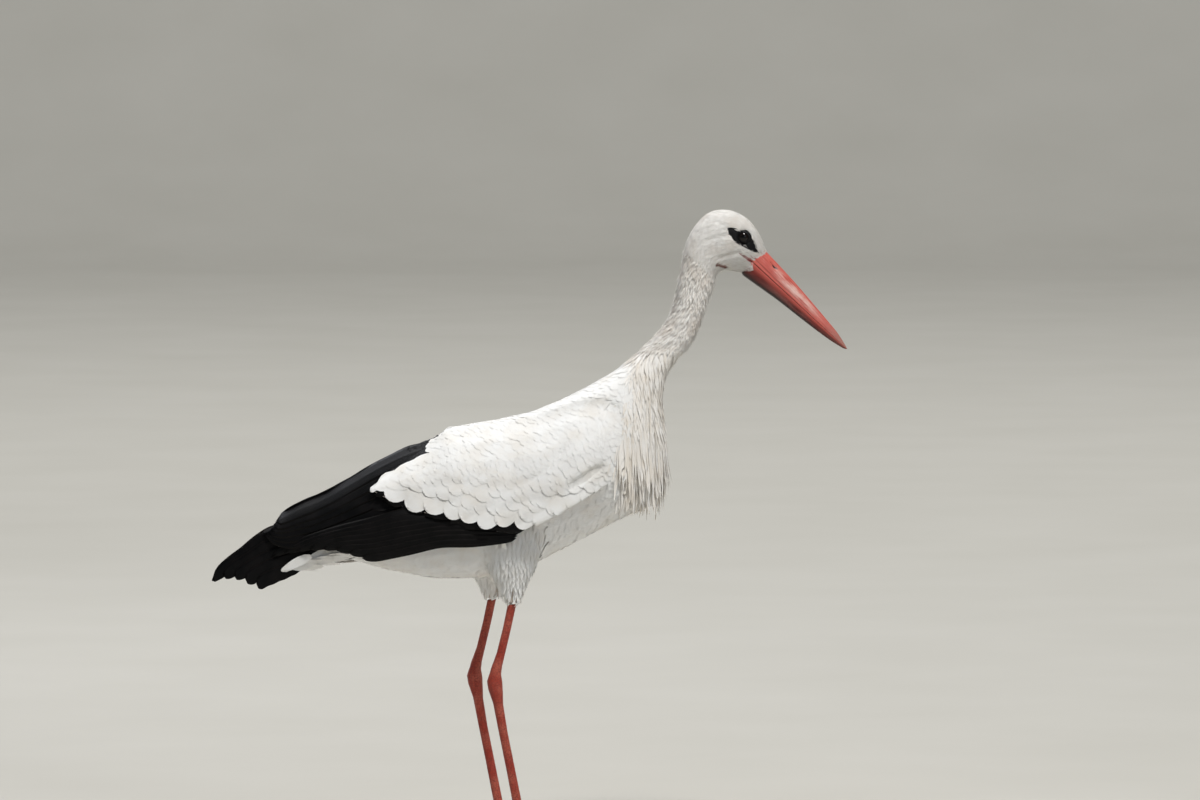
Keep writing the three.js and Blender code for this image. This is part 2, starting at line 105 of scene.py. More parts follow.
def dressed(material, add, colour, relief=None, roughness=None):
    # fills the shader: its colour, its relief (height, strength, depth), its roughness (value, low, high)
    tree = material.node_tree
    found = {"Base Color": colour}
    if relief:
        found["Normal"] = add("Bump", Height=relief[0], Strength=relief[1], Distance=relief[2])
    if roughness:
        found["Roughness"] = add("MapRange", roughness[0], To_Min=roughness[1], To_Max=roughness[2])
    for name, node in found.items():
        tree.links.new(next(s for s in node.outputs if s.enabled), tree.nodes["Principled BSDF"].inputs[name])
    return material


def meshOf(name, points, faces):
    points = np.asarray(points, dtype=np.float64).reshape(-1, 3)
    faces = np.asarray(faces, dtype=np.int32)
    mesh = bpy.data.meshes.new(name)
    mesh.vertices.add(len(points))
    mesh.vertices.foreach_set("co", points.ravel())
    mesh.loops.add(faces.size)
    mesh.loops.foreach_set("vertex_index", faces.ravel())
    mesh.polygons.add(len(faces))
    mesh.polygons.foreach_set("loop_start", np.arange(len(faces), dtype=np.int32) * faces.shape[1])
    mesh.polygons.foreach_set("use_smooth", np.full(len(faces), True))
    mesh.update(calc_edges=True)
    return mesh


def showMesh(name, mesh):
    thing = bpy.data.objects.new(name, mesh)
    bpy.context.scene.collection.objects.link(thing)
    return thing


def gridFaces(rows, columns, wrap=False):
    r, c = np.meshgrid(np.arange(rows - 1), np.arange(columns if wrap else columns - 1), indexing="ij")
    after = (c + 1) % columns
    corners = [r * columns + c, r * columns + after, (r + 1) * columns + after, (r + 1) * columns + c]
    return np.stack(corners, axis=-1).reshape(-1, 4)


def addMap(mesh, name, pairs):
    # a UV map from one pair for each vertex
    corner = np.zeros(len(mesh.loops), dtype=np.int32)
    mesh.loops.foreach_get("vertex_index", corner)
    mesh.uv_layers.new(name=name).data.foreach_set("uv", np.asarray(pairs)[corner].ravel())


def evaluated(thing, kind=None, **settings):
    # the mesh of a helper object under one more modifier; the helper goes
    if kind:
        change = thing.modifiers.new("change", kind)
        for name, value in settings.items():
            setattr(change, name, value)
    graph = bpy.context.evaluated_depsgraph_get()
    graph.update()
    mesh = bpy.data.meshes.new_from_object(thing.evaluated_get(graph), depsgraph=graph)
    bpy.data.objects.remove(thing)
    return mesh


def pointsOf(mesh, name="co"):
    values = np.zeros(len(mesh.vertices) * 3, dtype=np.float64)
    mesh.vertices.foreach_get(name, values)
    return values.reshape(-1, 3)


def setPoints(mesh, points):
    mesh.vertices.foreach_set("co", points.ravel())
    mesh.update()


def unit(vectors):
    return vectors / np.maximum(np.linalg.norm(vectors, axis=-1, keepdims=True), 1e-12)


def smoothStep(value, low, high):
    t = np.clip((value - low) / (high - low), 0, 1)
    return t * t * (3 - 2 * t)


def averaged(values, edges, passes, weight=0.5):
    # each vertex moves towards the mean of its neighbours
    values = values.copy()
    flat = values.reshape(len(values), -1)
    count = np.maximum(np.bincount(edges.ravel(), minlength=len(values)), 1)
    for i in range(passes):
        for k in range(flat.shape[1]):
            column = flat[:, k]
            total = np.bincount(edges[:, 0], column[edges[:, 1]], len(column))
            total += np.bincount(edges[:, 1], column[edges[:, 0]], len(column))
            flat[:, k] += weight * (total / count - column)
    return values


def joinedCopy(names, grow):
    # merged copies of CAD nodes, pushed out so that neighbours run into each other
    whole = bmesh.new()
    for name in names:
        part = bmesh.new()
        part.from_mesh(nodes[name].data)
        bmesh.ops.remove_doubles(part, verts=part.verts, dist=1e-5)
        part.normal_update()
        for vertex in part.verts:
            vertex.co += vertex.normal * grow
        piece = bpy.data.meshes.new("piece")
        part.to_mesh(piece)
        part.free()
        whole.from_mesh(piece)
        bpy.data.meshes.remove(piece)
    mesh = bpy.data.meshes.new("joined")
    whole.to_mesh(mesh)
    whole.free()
    return mesh


def softForm(names, settings):
    # one closed surface over the nodes, smoothed without shrinking: every pass in has a larger one out
    rough = showMesh("rough", joinedCopy(names, settings["grow"]))
    mesh = evaluated(rough, "REMESH", mode="VOXEL", voxel_size=settings["voxel"])
    edges = np.zeros(len(mesh.edges) * 2, dtype=np.int32)
    mesh.edges.foreach_get("vertices", edges)
    edges = edges.reshape(-1, 2)
    points, facing = pointsOf(mesh), pointsOf(mesh, "normal")
    for i in range(settings["passes"]):
        points = averaged(averaged(points, edges, 1, 0.5), edges, 1, -0.52)
    setPoints(mesh, points)
    mesh.shade_smooth()
    normals = unit(averaged(pointsOf(mesh, "normal"), edges, 6))
    return {"mesh": mesh, "edges": edges, "points": points, "normals": normals, "facing": facing}


def store(mesh, values, kind="FLOAT"):
    # named attributes on the vertices
    for name, value in values.items():
        layer = mesh.attributes.get(name) or mesh.attributes.new(name, kind, "POINT")
        layer.data.foreach_set("vector" if kind == "FLOAT_VECTOR" else "value", np.ravel(value))


def tidyShell(mesh, rings=()):
    # closes end rings of vertices with fans, or else merges doubles; turns all faces out
    work = bmesh.new()
    work.from_mesh(mesh)
    work.verts.ensure_lookup_table()
    for ring in [[work.verts[i] for i in ring] for ring in rings]:
        middle = work.verts.new(sum((v.co for v in ring), Vector()) / len(ring))
        for i, vertex in enumerate(ring):
            work.faces.new((vertex, ring[(i + 1) % len(ring)], middle)).smooth = True
    if not rings:
        bmesh.ops.remove_doubles(work, verts=work.verts, dist=1e-6)
    bmesh.ops.recalc_face_normals(work, faces=work.faces)
    work.to_mesh(mesh)
    work.free()


def treeOf(*meshes):
    # a search tree over the polygons of all the meshes, and which mesh each polygon belongs to
    corners, faces, owners = [], [], []
    for index, mesh in enumerate(meshes):
        start = len(corners)
        corners += [v.co.copy() for v in mesh.vertices]
        faces += [tuple(start + v for v in p.vertices) for p in mesh.polygons]
        owners += [index] * len(mesh.polygons)
    return BVHTree.FromPolygons(corners, faces), owners


# camera, lights and floor come first, so that every later stage can be looked at
view = {
    "target": (0.0890, 0.0, 0.5625),
    "distance": 12.0,
    "elevation": 4.0,  # degrees above the bird's own level
    "across": 1.500,  # metres that the frame spans at the target
    "sensor": 36.0,
}
studio = {
    # for each lamp: place, aim, size, power, colour
    "lamps": {
        "key": ((0.75, -1.8, 3.7), (0.08, 0.0, 0.5), 0.8, 106.0, "#FFFDF9"),
        "fill": ((2.4, -3.4, 1.9), (0.1, 0.0, 0.6), 2.2, 14.0, "#E8F0FF"),
        "back": ((-1.4, 2.6, 2.6), (0.0, 0.0, 0.5), 2.0, 24.0, "#F4F6FF"),
        "wall": ((0.0, 5.0, 9.5), (0.0, 10.5, 0.0), 8.0, 980.0, "#FFFFFF"),
    },
    "sky": "#DDE6EE",
    "skyStrength": 0.19,
    "floor": ("#B9B6AD", "#C2BFB7"),
    "half": 16.0,  # half the floor's width
    "bend": 3.0,  # radius of its sweep up behind the bird
    "wall": 9.0,
}


def aimAt(thing, place, target):
    thing.location = place
    thing.rotation_euler = (Vector(place) - Vector(target)).to_track_quat("Z", "Y").to_euler()


def setCamera():
    data = bpy.data.cameras.new("camera")
    data.sensor_width = view["sensor"]
    data.lens = view["sensor"] * view["distance"] / view["across"]
    data.clip_end = 60.0
    camera = showMesh("camera", data)
    tilt = math.radians(view["elevation"])
    back = Vector((0.0, -math.cos(tilt), math.sin(tilt)))
    aimAt(camera, Vector(view["target"]) + back * view["distance"], view["target"])
    bpy.context.scene.camera = camera


def setStudio():
    for name, (place, target, size, power, colour) in studio["lamps"].items():
        light = bpy.data.lights.new(name, "AREA")
        light.shape = "DISK"
        light.size = size
        light.energy = power
        light.color = srgb(colour)[:3]
        aimAt(showMesh(name, light), place, target)
    world = bpy.data.worlds.new("studio")
    world.use_nodes = True
    sky = world.node_tree.nodes["Background"].inputs
    sky["Color"].default_value = srgb(studio["sky"])
    sky["Strength"].default_value = studio["skyStrength"]
    bpy.context.scene.world = world
    bpy.context.scene.view_settings.view_transform = "Standard"


def makeFloor():
    half, bend = studio["half"], studio["bend"]
    sweep = np.linspace(0, math.pi / 2, 37)
    profile = [(-half, 0.0), *zip(half - bend + bend * np.sin(sweep), bend * (1 - np.cos(sweep))),
               (half, bend + 1.0), (half, studio["wall"])]
    points = [(x, y, z) for y, z in profile for x in (half, -half)]
    floor = showMesh("floor", meshOf("floor", points, gridFaces(40, 2)))
    # painted studio floor: matt, with the faintest mottling
    material, add, place = newMaterial("mattFloorPaint", 0.9)
    mottle = add("TexNoise", place, Scale=3.0, Detail=4.0)
    floor.data.materials.append(dressed(material, add, layered(add, *studio["floor"], mottle)))


setCamera()
setStudio()
makeFloor()
print("stage: camera, lights and floor")

# the form: one smooth surface over all that is feathered, which every feather lies along
plumage = {
    "voxel": 2.4 * mm,
    "grow": 0.5 * mm,  # closes the cuts between CAD solids
    "passes": 26,
    "bridgePasses": 70,
    "flesh": ["head", "neck", "breast", "trunk", "thigh_right", "thigh_left",
              "wing_right_coverts", "wing_left_coverts"],
    "quills": ["wing_right_tertials", "wing_right_secondaries", "wing_right_primaries",
               "wing_left_tertials", "wing_left_secondaries", "wing_left_primaries", "tail"],
    "horn": ["bill_upper", "bill_lower"],
    # how far the skin lies under the tips of the feathers, in millimetres
    "depth": {"head": 1.7, "neck": 4.0, "breast": 8.0, "trunk": 6.0, "thigh": 4.0, "wing": 5.5},
    "leastDepth": 0.7,  # the share of it that always stays, under the whole form
    # over this line (x, z) the hollows between breast, mantle and wing are filled, as feathers bridge them
    "bridged": np.array([(-0.25, 0.452), (-0.193, 0.455), (-0.016, 0.420), (0.013, 0.436), (0.089, 0.487),
                         (0.116, 0.506), (0.30, 0.520)]),
    # folds in the coat, seen from the side: two ends, half width, depth; near the wing's low front edge,
    # between wing and breast, behind the eye, from the gape back over the jaw, and under the cheek
    "folds": [((0.056, 0.462), (0.087, 0.482), 5.0 * mm, 4.4 * mm),
              ((0.1150, 0.498), (0.1185, 0.448), 3.2 * mm, 7.0 * mm),
              ((0.2470, 0.7800), (0.2350, 0.7868), 2.2 * mm, 1.3 * mm),
              ((0.2630, 0.7477), (0.2366, 0.7410), 2.6 * mm, 1.2 * mm),
              ((0.2509, 0.7710), (0.2206, 0.7630), 3.0 * mm, 1.0 * mm)],
    # under this line the wing's coverts stand up in soft pads, longer along their lie, with creases between
    "padLine": np.array([(-0.20, 0.470), (-0.05, 0.485), (0.03, 0.515), (0.10, 0.530)]),
    "pads": (13.0, 26.0, 3.6 * mm),  # pads to a metre along and across, and how high
    "locks": (40.0, 5.0, 2.8 * mm),  # on the breast: locks to a metre across and down, and how high
}

# the line that the coat lies along, from the bill's root over the neck to the tail
bodyLine = np.array([
    (0.290, 0.728), (0.262, 0.756), (0.232, 0.762), (0.212, 0.738), (0.205, 0.700), (0.194, 0.665),
    (0.168, 0.628), (0.120, 0.580), (0.050, 0.528), (-0.050, 0.470), (-0.150, 0.420), (-0.260, 0.378),
    (-0.400, 0.325),
])

# the bill's own frame: s runs from its root to its tip, n towards the culmen
bill = {
    "root": np.array([0.2822, 0.7333]),
    "tip": np.array([0.3972, 0.6270]),
    "inside": 13 * mm,  # how far the horn runs on under the face
    "lap": 0.35 * mm,  # how far the upper half's edge reaches down over the lower half
    "steps": 170,
    "arc": 30,  # steps round one half
    "rays": 60,
    "window": 13,  # rays averaged together, to take the facets out
    "past": 0.8 * mm,  # how far the blunt point runs on past the tip
    "blunt": 4 * mm,
    "groove": (1.30, 0.07, 0.55),  # its angle from the ridge, half width, depth in millimetres
    "nostril": {"s": 19.0 * mm, "angle": 38.0, "long": 6.6 * mm, "tall": 1.35 * mm, "deep": 2.6 * mm,
                "turn": 7.0},
}
billWay = unit(bill["tip"] - bill["root"])
billUp = np.array([-billWay[1], billWay[0]])
billLong = float(np.linalg.norm(bill["tip"] - bill["root"]))

# the bare patch round the eye, as a lens between two points of the side of the head
face = {
    "patchBack": np.array([0.2462, 0.7795]),
    "patchFront": np.array([0.2852, 0.7490]),
    "eye": np.array([0.2680, 0.7670]),
    "patchHalf": 8.2 * mm,
    "patchRise": 1.6 * mm,  # the lens bows up over the eye
    "gapeEnd": np.array([0.2630, 0.7477]),  # the gape's corner runs back under the cheek's feathers
    "chin": (np.array([0.2345, 0.7325]), np.array([0.2450, 0.7285])),  # bare skin of the throat, dull red
    "tuft": np.array([0.2690, 0.7570]),  # a few pale hairs on the bare patch, under the eye
    # how far the blades keep off the edges of what is bare, round the middle of the eye for the first
    "clear": {"eye": 7.4 * mm, "gape": 1.1 * mm, "chin": 1.3 * mm, "horn": 0.8 * mm, "patch": 0.1 * mm},
    # the edge of the face's feathers over the horn: n, then s, in the bill's frame
    "edge": np.array([(-18.4, -6.5), (-12.0, 0.0), (-7.2, 2.3), (-3.5, 0.0), (-1.6, -9.0), (0.5, -8.0),
                      (4.9, -4.6), (12.0, -2.0), (20.0, 0.9)]) * mm,
}
lensMiddle = (face["patchBack"] + face["patchFront"]) / 2
lensHalf = float(np.linalg.norm(face["patchFront"] - face["patchBack"]) / 2)
lensWay = unit(face["patchFront"] - face["patchBack"])


def lensMeasure(x, z):
    # under 0 inside the bare patch, in metres
    s = ((x - lensMiddle[0]) * lensWay[0] + (z - lensMiddle[1]) * lensWay[1]) / lensHalf
    n = -(x - lensMiddle[0]) * lensWay[1] + (z - lensMiddle[1]) * lensWay[0]
    bow = np.clip(1 - s * s, 0, None)
    return np.abs(n - face["patchRise"] * bow) - face["patchHalf"] * bow


def lineMeasure(x, z, start, end):
    span = end - start
    share = np.clip(((x - start[0]) * span[0] + (z - start[1]) * span[1]) / (span @ span), 0, 1)
    return np.hypot(x - start[0] - share * span[0], z - start[1] - share * span[1])


def pastEdge(points):
    # how far each point lies past the edge of the face's feathers, along the bill
    flat = points[:, [0, 2]] - bill["root"]
    return flat @ billWay - np.interp(flat @ billUp, face["edge"][:, 0], face["edge"][:, 1])


def alongBody(points):
    # place on the line (0 at the bill, 1 at the tail), its direction, and the angle round it from the back
    flat = points[:, [0, 2]]
    starts, ends = bodyLine[:-1], bodyLine[1:]
    spans = ends - starts
    lengths = np.linalg.norm(spans, axis=1)
    walked = np.concatenate([[0], np.cumsum(lengths)])
    share = np.einsum("nsk,sk->ns", flat[:, None] - starts[None], spans) / (lengths ** 2)
    share = np.clip(share, 0, 1)
    nearest = starts[None] + share[..., None] * spans[None]
    best = np.argmin(np.linalg.norm(flat[:, None] - nearest, axis=2), axis=1)
    rows = np.arange(len(points))
    place = walked[best] + share[rows, best] * lengths[best]
    directions = unit(np.gradient(bodyLine, walked, axis=0))
    heading = unit(np.stack([np.interp(place, walked, directions[:, k]) for k in (0, 1)], axis=1))
    offset = flat - nearest[rows, best]
    over = offset[:, 0] * heading[:, 1] - offset[:, 1] * heading[:, 0]  # over the back is positive
    angle = np.arctan2(points[:, 1], over)
    return place / walked[-1], np.stack([heading[:, 0], np.zeros(len(points)), heading[:, 1]], axis=1), angle


def nearestNode(points, names):
    # the CAD node whose surface is nearest to each point
    search, owners = treeOf(*[nodes[name].data for name in names])
    return np.array([owners[search.find_nearest(Vector(p))[2]] for p in points])


def owned(*words, of=None):
    # 1 where the nearest CAD node's name starts with one of the words
    of = of or form
    return np.array([name.startswith(words) for name in of["names"]], dtype=float)[of["owner"]]


def raised(made, rise):
    made["points"] = made["points"] + made["normals"] * rise[:, None]
    setPoints(made["mesh"], made["points"])


def findNormals(made, passes):
    made["normals"] = unit(averaged(pointsOf(made["mesh"], "normal"), made["edges"], passes))


def bridged(body):
    # raises the hollows over the line to their surroundings, ridges stay, and presses the folds in
    points, normals, line = body["points"], body["normals"], plumage["bridged"]
    limit = np.interp(points[:, 0], line[:, 0], line[:, 1])
    mask = smoothStep(points[:, 2] - limit, 0, 14 * mm) * smoothStep(0.70 - points[:, 2], 0, 0.03)
    # and under the wing's front edge, where the flank's feathers close it
    flank = smoothStep(points[:, 0], -0.030, 0.005) * smoothStep(np.abs(points[:, 1]), 38 * mm, 48 * mm)
    flank = flank * smoothStep(points[:, 2], 0.370, 0.385) * smoothStep(0.115 - points[:, 0], 0, 0.01)
    mask = np.maximum(mask, flank)
    for i in range(plumage["bridgePasses"]):
        rise = np.sum((averaged(points, body["edges"], 1, 1.0) - points) * normals, axis=1)
        points = points + normals * (np.clip(rise, 0, None) * mask * 0.9)[:, None]
    body["points"] = points
    side = smoothStep(np.abs(normals[:, 1]), 0.3, 0.6)
    for start, end, half, depth in plumage["folds"]:
        gap = lineMeasure(body["points"][:, 0], body["points"][:, 2], np.array(start), np.array(end))
        raised(body, -depth * np.exp(-(gap / half) ** 2) * side)
    findNormals(body, 6)


def billow(points, scales):
    # 0 along creases and about 1 on the rounded tops between them
    values = np.array([noise.noise(Vector(point)) for point in points * np.array(scales)])
    return np.clip(np.abs(values) / 0.45, 0, 1) ** 0.7


def addPads(made):
    points, edges = made["points"], made["edges"]
    along, across, high = plumage["pads"]
    x, y, z = points.T
    turned = np.stack([-0.82 * x - 0.57 * z, y, 0.57 * x - 0.82 * z], axis=1)
    limit = np.interp(x, *plumage["padLine"].T)
    mask = averaged(owned("wing", of=made) * smoothStep(limit - z, -0.01, 0.02) * (x < 0.095), edges, 4)
    rise = (billow(turned, (along, along, across)) - 0.6) * high * mask
    wide, down, high = plumage["locks"]
    mask = averaged(owned("breast", "neck", of=made) * smoothStep(0.625 - z, 0, 0.05) * (x > 0.10), edges, 4)
    rise += (billow(points, (wide, wide, down)) - 0.6) * high * mask
    raised(made, rise)
    findNormals(made, 4)


def makeWholeForm():
    names = plumage["flesh"] + plumage["quills"] + plumage["horn"]
    made = softForm(names, plumage)
    made["names"] = names
    made["owner"] = nearestNode(made["points"], names)
    bridged(made)
    addPads(made)
    # the face's feathers stand over the horn, not in it
    over = smoothStep(-pastEdge(made["points"]), -3 * mm, 0.5 * mm)
    raised(made, averaged(owned("bill", of=made) * over * 1.3 * mm, made["edges"], 3))
    made["place"], made["heading"], made["angle"] = alongBody(made["points"])
    made["search"] = treeOf(made["mesh"])[0]
    return made


form = makeWholeForm()
print("stage: form,", len(form["points"]), "vertices")


def ribs(add, vane, across, count, tilt, wander, strength):
    # slanting barbs along a vane, as a wave, a little disturbed
    slant = add("Math ADD", add("Math MULTIPLY", vane["Y"], count), add("Math MULTIPLY", across, -tilt))
    slant = add("Math ADD", slant, add("Math MULTIPLY", wander, strength))
    return add("Math SINE", add("Math MULTIPLY", slant, 2 * math.pi))


def vaneOf(add):
    # the place on the vane, and how far from its shaft
    vane = add("SeparateXYZ", add("UVMap", uv_map="Vane")).outputs
    return vane, add("Math ABSOLUTE", add("Math SUBTRACT", vane["X"], 0.5))


def whiteFeather(name, clean, worn, shade, barbs, streaks):
    # contour feather: matt keratin barbs, which scatter light softly; streaks run along the longer ones,
    # partly their tone and partly painted shade between strands
    material, add, place = newMaterial(name, 0.72, Sheen_Weight=0.15, Sheen_Roughness=0.5,
                                       Specular_IOR_Level=0.25)
    vane, across = vaneOf(add)
    tint = add("Attribute", attribute_name="tint").outputs["Fac"]
    own = add("CombineXYZ", add("Math MULTIPLY", vane["X"], 5.0), vane["Y"], add("Math MULTIPLY", tint, 90.0))
    streak = add("TexNoise", own, Scale=1.0, Detail=3.0)
    blotch = add("MapRange SMOOTHSTEP", add("TexNoise", place, Scale=34.0, Detail=3.0), 0.42, 0.72)
    soilAndStreakShade = add("Math MULTIPLY", blotch, 0.45)
    soilAndStreakShade = add("Math ADD", soilAndStreakShade, add("Math MULTIPLY", tint, 0.6), use_clamp=True)
    # the streaks darken lines along each vane: partly tone, partly painted shade between strands
    lines = add("Math MULTIPLY", add("MapRange SMOOTHSTEP", streak, 0.45, 0.7), streaks)
    soilAndStreakShade = add("Math ADD", soilAndStreakShade, lines, use_clamp=True)
    # painted shade: the base of each vane is painted darker, as in the shade of the next feather, and partly
    # the greyer down
    colour = layered(add, layered(add, clean, worn, soilAndStreakShade), shade, (vane["Y"], 0.75, 0.15), share=0.4)
    wobble = add("TexNoise", place, Scale=180.0, Detail=2.0)
    rib = add("Math MULTIPLY", ribs(add, vane, across, barbs, 0.8 * barbs, wobble, 3.0), 0.5)
    rib = add("Math ADD", rib, add("Math MULTIPLY", streak, 6.0 * streaks))
    return dressed(material, add, colour, (rib, 0.3, 0.25 * mm))


def blackFeather():
    # flight feather: dense melanin keratin, close barbs that give a low silky gloss; lighter brownish edges,
    # partly wear and partly a painted sheen
    material, add, place = newMaterial("flightFeatherBlack", 0.45, Specular_IOR_Level=0.14)
    vane, across = vaneOf(add)
    streak = add("TexNoise", place, Scale=60.0, Detail=4.0)
    colour = layered(add, "#040405", "#0C0A0B", (streak, 0.35, 0.7))
    # painted sheen and wear: lighter, brownish vane edges
    colour = layered(add, colour, "#2A2521", (across, 0.40, 0.5), share=0.35)
    rib = ribs(add, vane, across, 130.0, 34.0, streak, 2.0)
    return dressed(material, add, colour, (rib, 0.25, 0.2 * mm), (streak, 0.34, 0.55))


def sideView(add, place, centre):
    # the place seen along Y, from a centre
    parts = add("SeparateXYZ", place).outputs
    flat = add("CombineXYZ", parts["X"], 0.0, parts["Z"])
    return add("VectorMath SUBTRACT", flat, (float(centre[0]), 0.0, float(centre[1])))


def segmentMask(add, place, start, end, half, soft):
    # a ramp that is 1 near a line on the side of the head
    offset = sideView(add, place, start)
    span = (float(end[0] - start[0]), 0.0, float(end[1] - start[1]))
    along = add("VectorMath DOT_PRODUCT", offset, span)
    along = add("Math DIVIDE", along, span[0] ** 2 + span[2] ** 2, use_clamp=True)
    gap = add("VectorMath DISTANCE", offset, add("VectorMath SCALE", span, Scale=along))
    return add("MapRange SMOOTHSTEP", gap, half + soft, half - soft)


def patchMask(add, place, grow, soft):
    # 1 inside the bare lens round the eye and a little past it, by the same sum as lensMeasure
    offset = sideView(add, place, lensMiddle)
    s = add("VectorMath DOT_PRODUCT", offset, (lensWay[0] / lensHalf, 0.0, lensWay[1] / lensHalf))
    n = add("VectorMath DOT_PRODUCT", offset, (-lensWay[1], 0.0, lensWay[0]))
    bow = add("Math SUBTRACT", 1.0, add("Math MULTIPLY", s, s), use_clamp=True)
    height = add("Math SUBTRACT", n, add("Math MULTIPLY", bow, face["patchRise"]))
    gap = add("Math SUBTRACT", add("Math ABSOLUTE", height), add("Math MULTIPLY", bow, face["patchHalf"]))
    return add("MapRange SMOOTHSTEP", gap, grow + soft, grow - soft)


def bareSkin():
    # living skin: pale and waxy under the feathers, black and finely wrinkled round the eye, red at the chin
    material, add, place = newMaterial("bareSkin", 0.55, Specular_IOR_Level=0.22)
    near = partial(segmentMask, add, place)
    grain = add("TexNoise", place, Scale=420.0, Detail=4.0)
    foot = bill["root"] - billWay * 2.0 * mm + billUp * 3.5 * mm
    horn = near(foot, foot - billWay * 7.0 * mm - billUp * 3.0 * mm, 4.5 * mm, 1.0 * mm)
    gape = near(bill["root"], face["gapeEnd"], 1.2 * mm, 0.4 * mm)
    lid = near(face["eye"], face["eye"] + billWay * mm, 9.8 * mm, 0.4 * mm)
    dark = add("Math MAXIMUM", patchMask(add, place, 1.5 * mm, 0.4 * mm), lid)
    colour = layered(add, "#D8CCC2", "#E6DDD4", grain)
    for other, mask in (("#77524A", near(*face["chin"], 3.4 * mm, 1.5 * mm)),
                        ("#A8382F", add("Math MAXIMUM", horn, gape)),
                        # painted shade: a dark line in the crease of the gape
                        ("#2A0C0A", near(bill["root"], face["gapeEnd"], 0.45 * mm, 0.35 * mm)),
                        (layered(add, "#050405", "#100F10", grain), dark)):
        colour = layered(add, colour, other, mask)
    wrinkle = add("TexVoronoi", place, Scale=900.0)
    return dressed(material, add, colour, (wrinkle, 0.35, 0.3 * mm))


def hornMaterial(name, lit, deep, shade, tip, pale):
    # bill: thin polished horn over blood-red tissue, growth lines and scuffs along it, painted shade dark in
    # the parting
    material, add, place = newMaterial(name, 0.34, Specular_IOR_Level=0.5, Coat_Weight=0.10,
                                       Coat_Roughness=0.3)
    horn = add("UVMap", uv_map="Horn")
    along, girth = add("SeparateXYZ", horn).outputs[:2]
    # stretched along the bill: lines about 1 mm apart and 25 mm long
    lines = add("Mapping", horn, Scale=(5.0, 46.0, 1.0))
    lines = add("TexNoise", lines, Scale=1.0, Detail=6.0, Roughness=0.6)
    scuff = add("TexNoise", add("Mapping", horn, Scale=(14.0, 150.0, 1.0)), Scale=1.0, Detail=3.0)
    blotch = add("TexNoise", place, Scale=55.0, Detail=4.0)
    # the pale bloom lies on the flanks, past the nostril: partly worn horn, partly a painted highlight
    flank = add("Math ABSOLUTE", add("Math SUBTRACT", girth, 0.25))
    worn = add("Math MULTIPLY", add("Math ADD", blotch, lines), 0.5)
    bloomAndHighlight = 0.85 * pale
    for ends in ((flank, 0.05, 0.13), (flank, 0.23, 0.16), (along, 0.08, 0.3), (along, 0.75, 0.45),
                 (worn, 0.36, 0.56)):
        bloomAndHighlight = add("Math MULTIPLY", add("MapRange SMOOTHSTEP", *ends), bloomAndHighlight)
    scuffed = add("MapRange SMOOTHSTEP", scuff, 0.60, 0.74)
    bloomAndHighlight = add("Math ADD", bloomAndHighlight, add("Math MULTIPLY", scuffed, 0.5 * pale), use_clamp=True)
    colour = layered(add, deep, lit, (lines, 0.3, 0.7))
    # painted highlight, with the pale bloom of worn horn and its scuffs
    colour = layered(add, colour, "#E2BAAF", bloomAndHighlight)
    colour = layered(add, colour, tip, (along, 0.66, 1.0))
    if shade:
        # painted light and shade: the lower half is painted brightest along its cutting edge, where light
        # catches it, and nearly black along its keel, in shade
        colour = layered(add, colour, "#C4584C", (flank, 0.18, 0.24), share=0.85)
        colour = layered(add, colour, shade, (flank, 0.17, 0.07), (along, 1.0, 0.5), share=0.92)
    else:
        # painted shade: dark in the groove and along the cutting edge under it
        off = add("Math ABSOLUTE", add("Math SUBTRACT", flank, 0.2070))
        groove = add("Math SUBTRACT", 1.0, add("Math MULTIPLY", off, 110.0), use_clamp=True)
        colour = layered(add, colour, "#5A1512", groove, (along, 0.66, 0.3), share=0.5)
        colour = layered(add, colour, "#2A0A08", (flank, 0.238, 0.249), share=0.92)
        # the nostrils: dark slits of painted shade
        hole = bill["nostril"]
        a = add("Math MULTIPLY", add("Math SUBTRACT", along, hole["s"] / billLong), billLong / hole["long"])
        b = add("Math MULTIPLY", add("Math SUBTRACT", flank, hole["angle"] / 360.0), 1 / 0.011)
        gap = add("VectorMath LENGTH", add("CombineXYZ", a, b))
        colour = layered(add, colour, "#1E0A09", (gap, 1.15, 0.75))
    return dressed(material, add, colour, (lines, 0.45, 0.4 * mm), (blotch, 0.24, 0.5))


def legSkin():
    # scaled leg skin: small horny plates with darker grooves, waxy, dusted paler on the raised parts
    material, add, place = newMaterial("scaledLegSkin", 0.5, Specular_IOR_Level=0.4)
    plates = add("TexVoronoi", place, Scale=290.0, feature="DISTANCE_TO_EDGE")
    plates = add("MapRange SMOOTHSTEP", plates, 0.10, 0.0)
    groove = add("Math MAXIMUM", plates, add("Attribute", attribute_name="scute").outputs["Fac"])
    colour = layered(add, "#A83A2A", "#BE5F4C", (add("TexNoise", place, Scale=55.0, Detail=5.0), 0.35, 0.7))
    colour = layered(add, colour, "#6E241B", groove, share=0.75)
    return dressed(material, add, colour, (add("Math SUBTRACT", 1.0, groove), 0.7, 0.5 * mm))


def clawHorn():
    # claw: dark worn horn, smooth, paler where it is scuffed
    material, add, place = newMaterial("clawHorn", 0.4, Specular_IOR_Level=0.5)
    scuff = add("TexNoise", place, Scale=260.0, Detail=5.0)
    colour = layered(add, "#2A211D", "#6B5A4E", (scuff, 0.4, 0.75))
    return dressed(material, add, colour, (scuff, 0.3, 0.2 * mm))


def wetEye(centre, pupil, rim):
    # wet eye: a dark brown iris round a black pupil under a clear glossy cornea
    material, add, place = newMaterial("wetEye", 0.07, Specular_IOR_Level=0.25, Coat_Weight=0.08,
                                       Coat_Roughness=0.03)
    gap = add("VectorMath LENGTH", sideView(add, place, (centre.x, centre.z)))
    iris = layered(add, "#0B0706", "#1A100B", add("TexNoise", place, Scale=900.0, Detail=3.0))
    colour = layered(add, "#020202", iris, (gap, pupil - 0.3 * mm, pupil + 0.3 * mm))
    return dressed(material, add, layered(add, colour, "#060505", (gap, rim - 0.6 * mm, rim)))


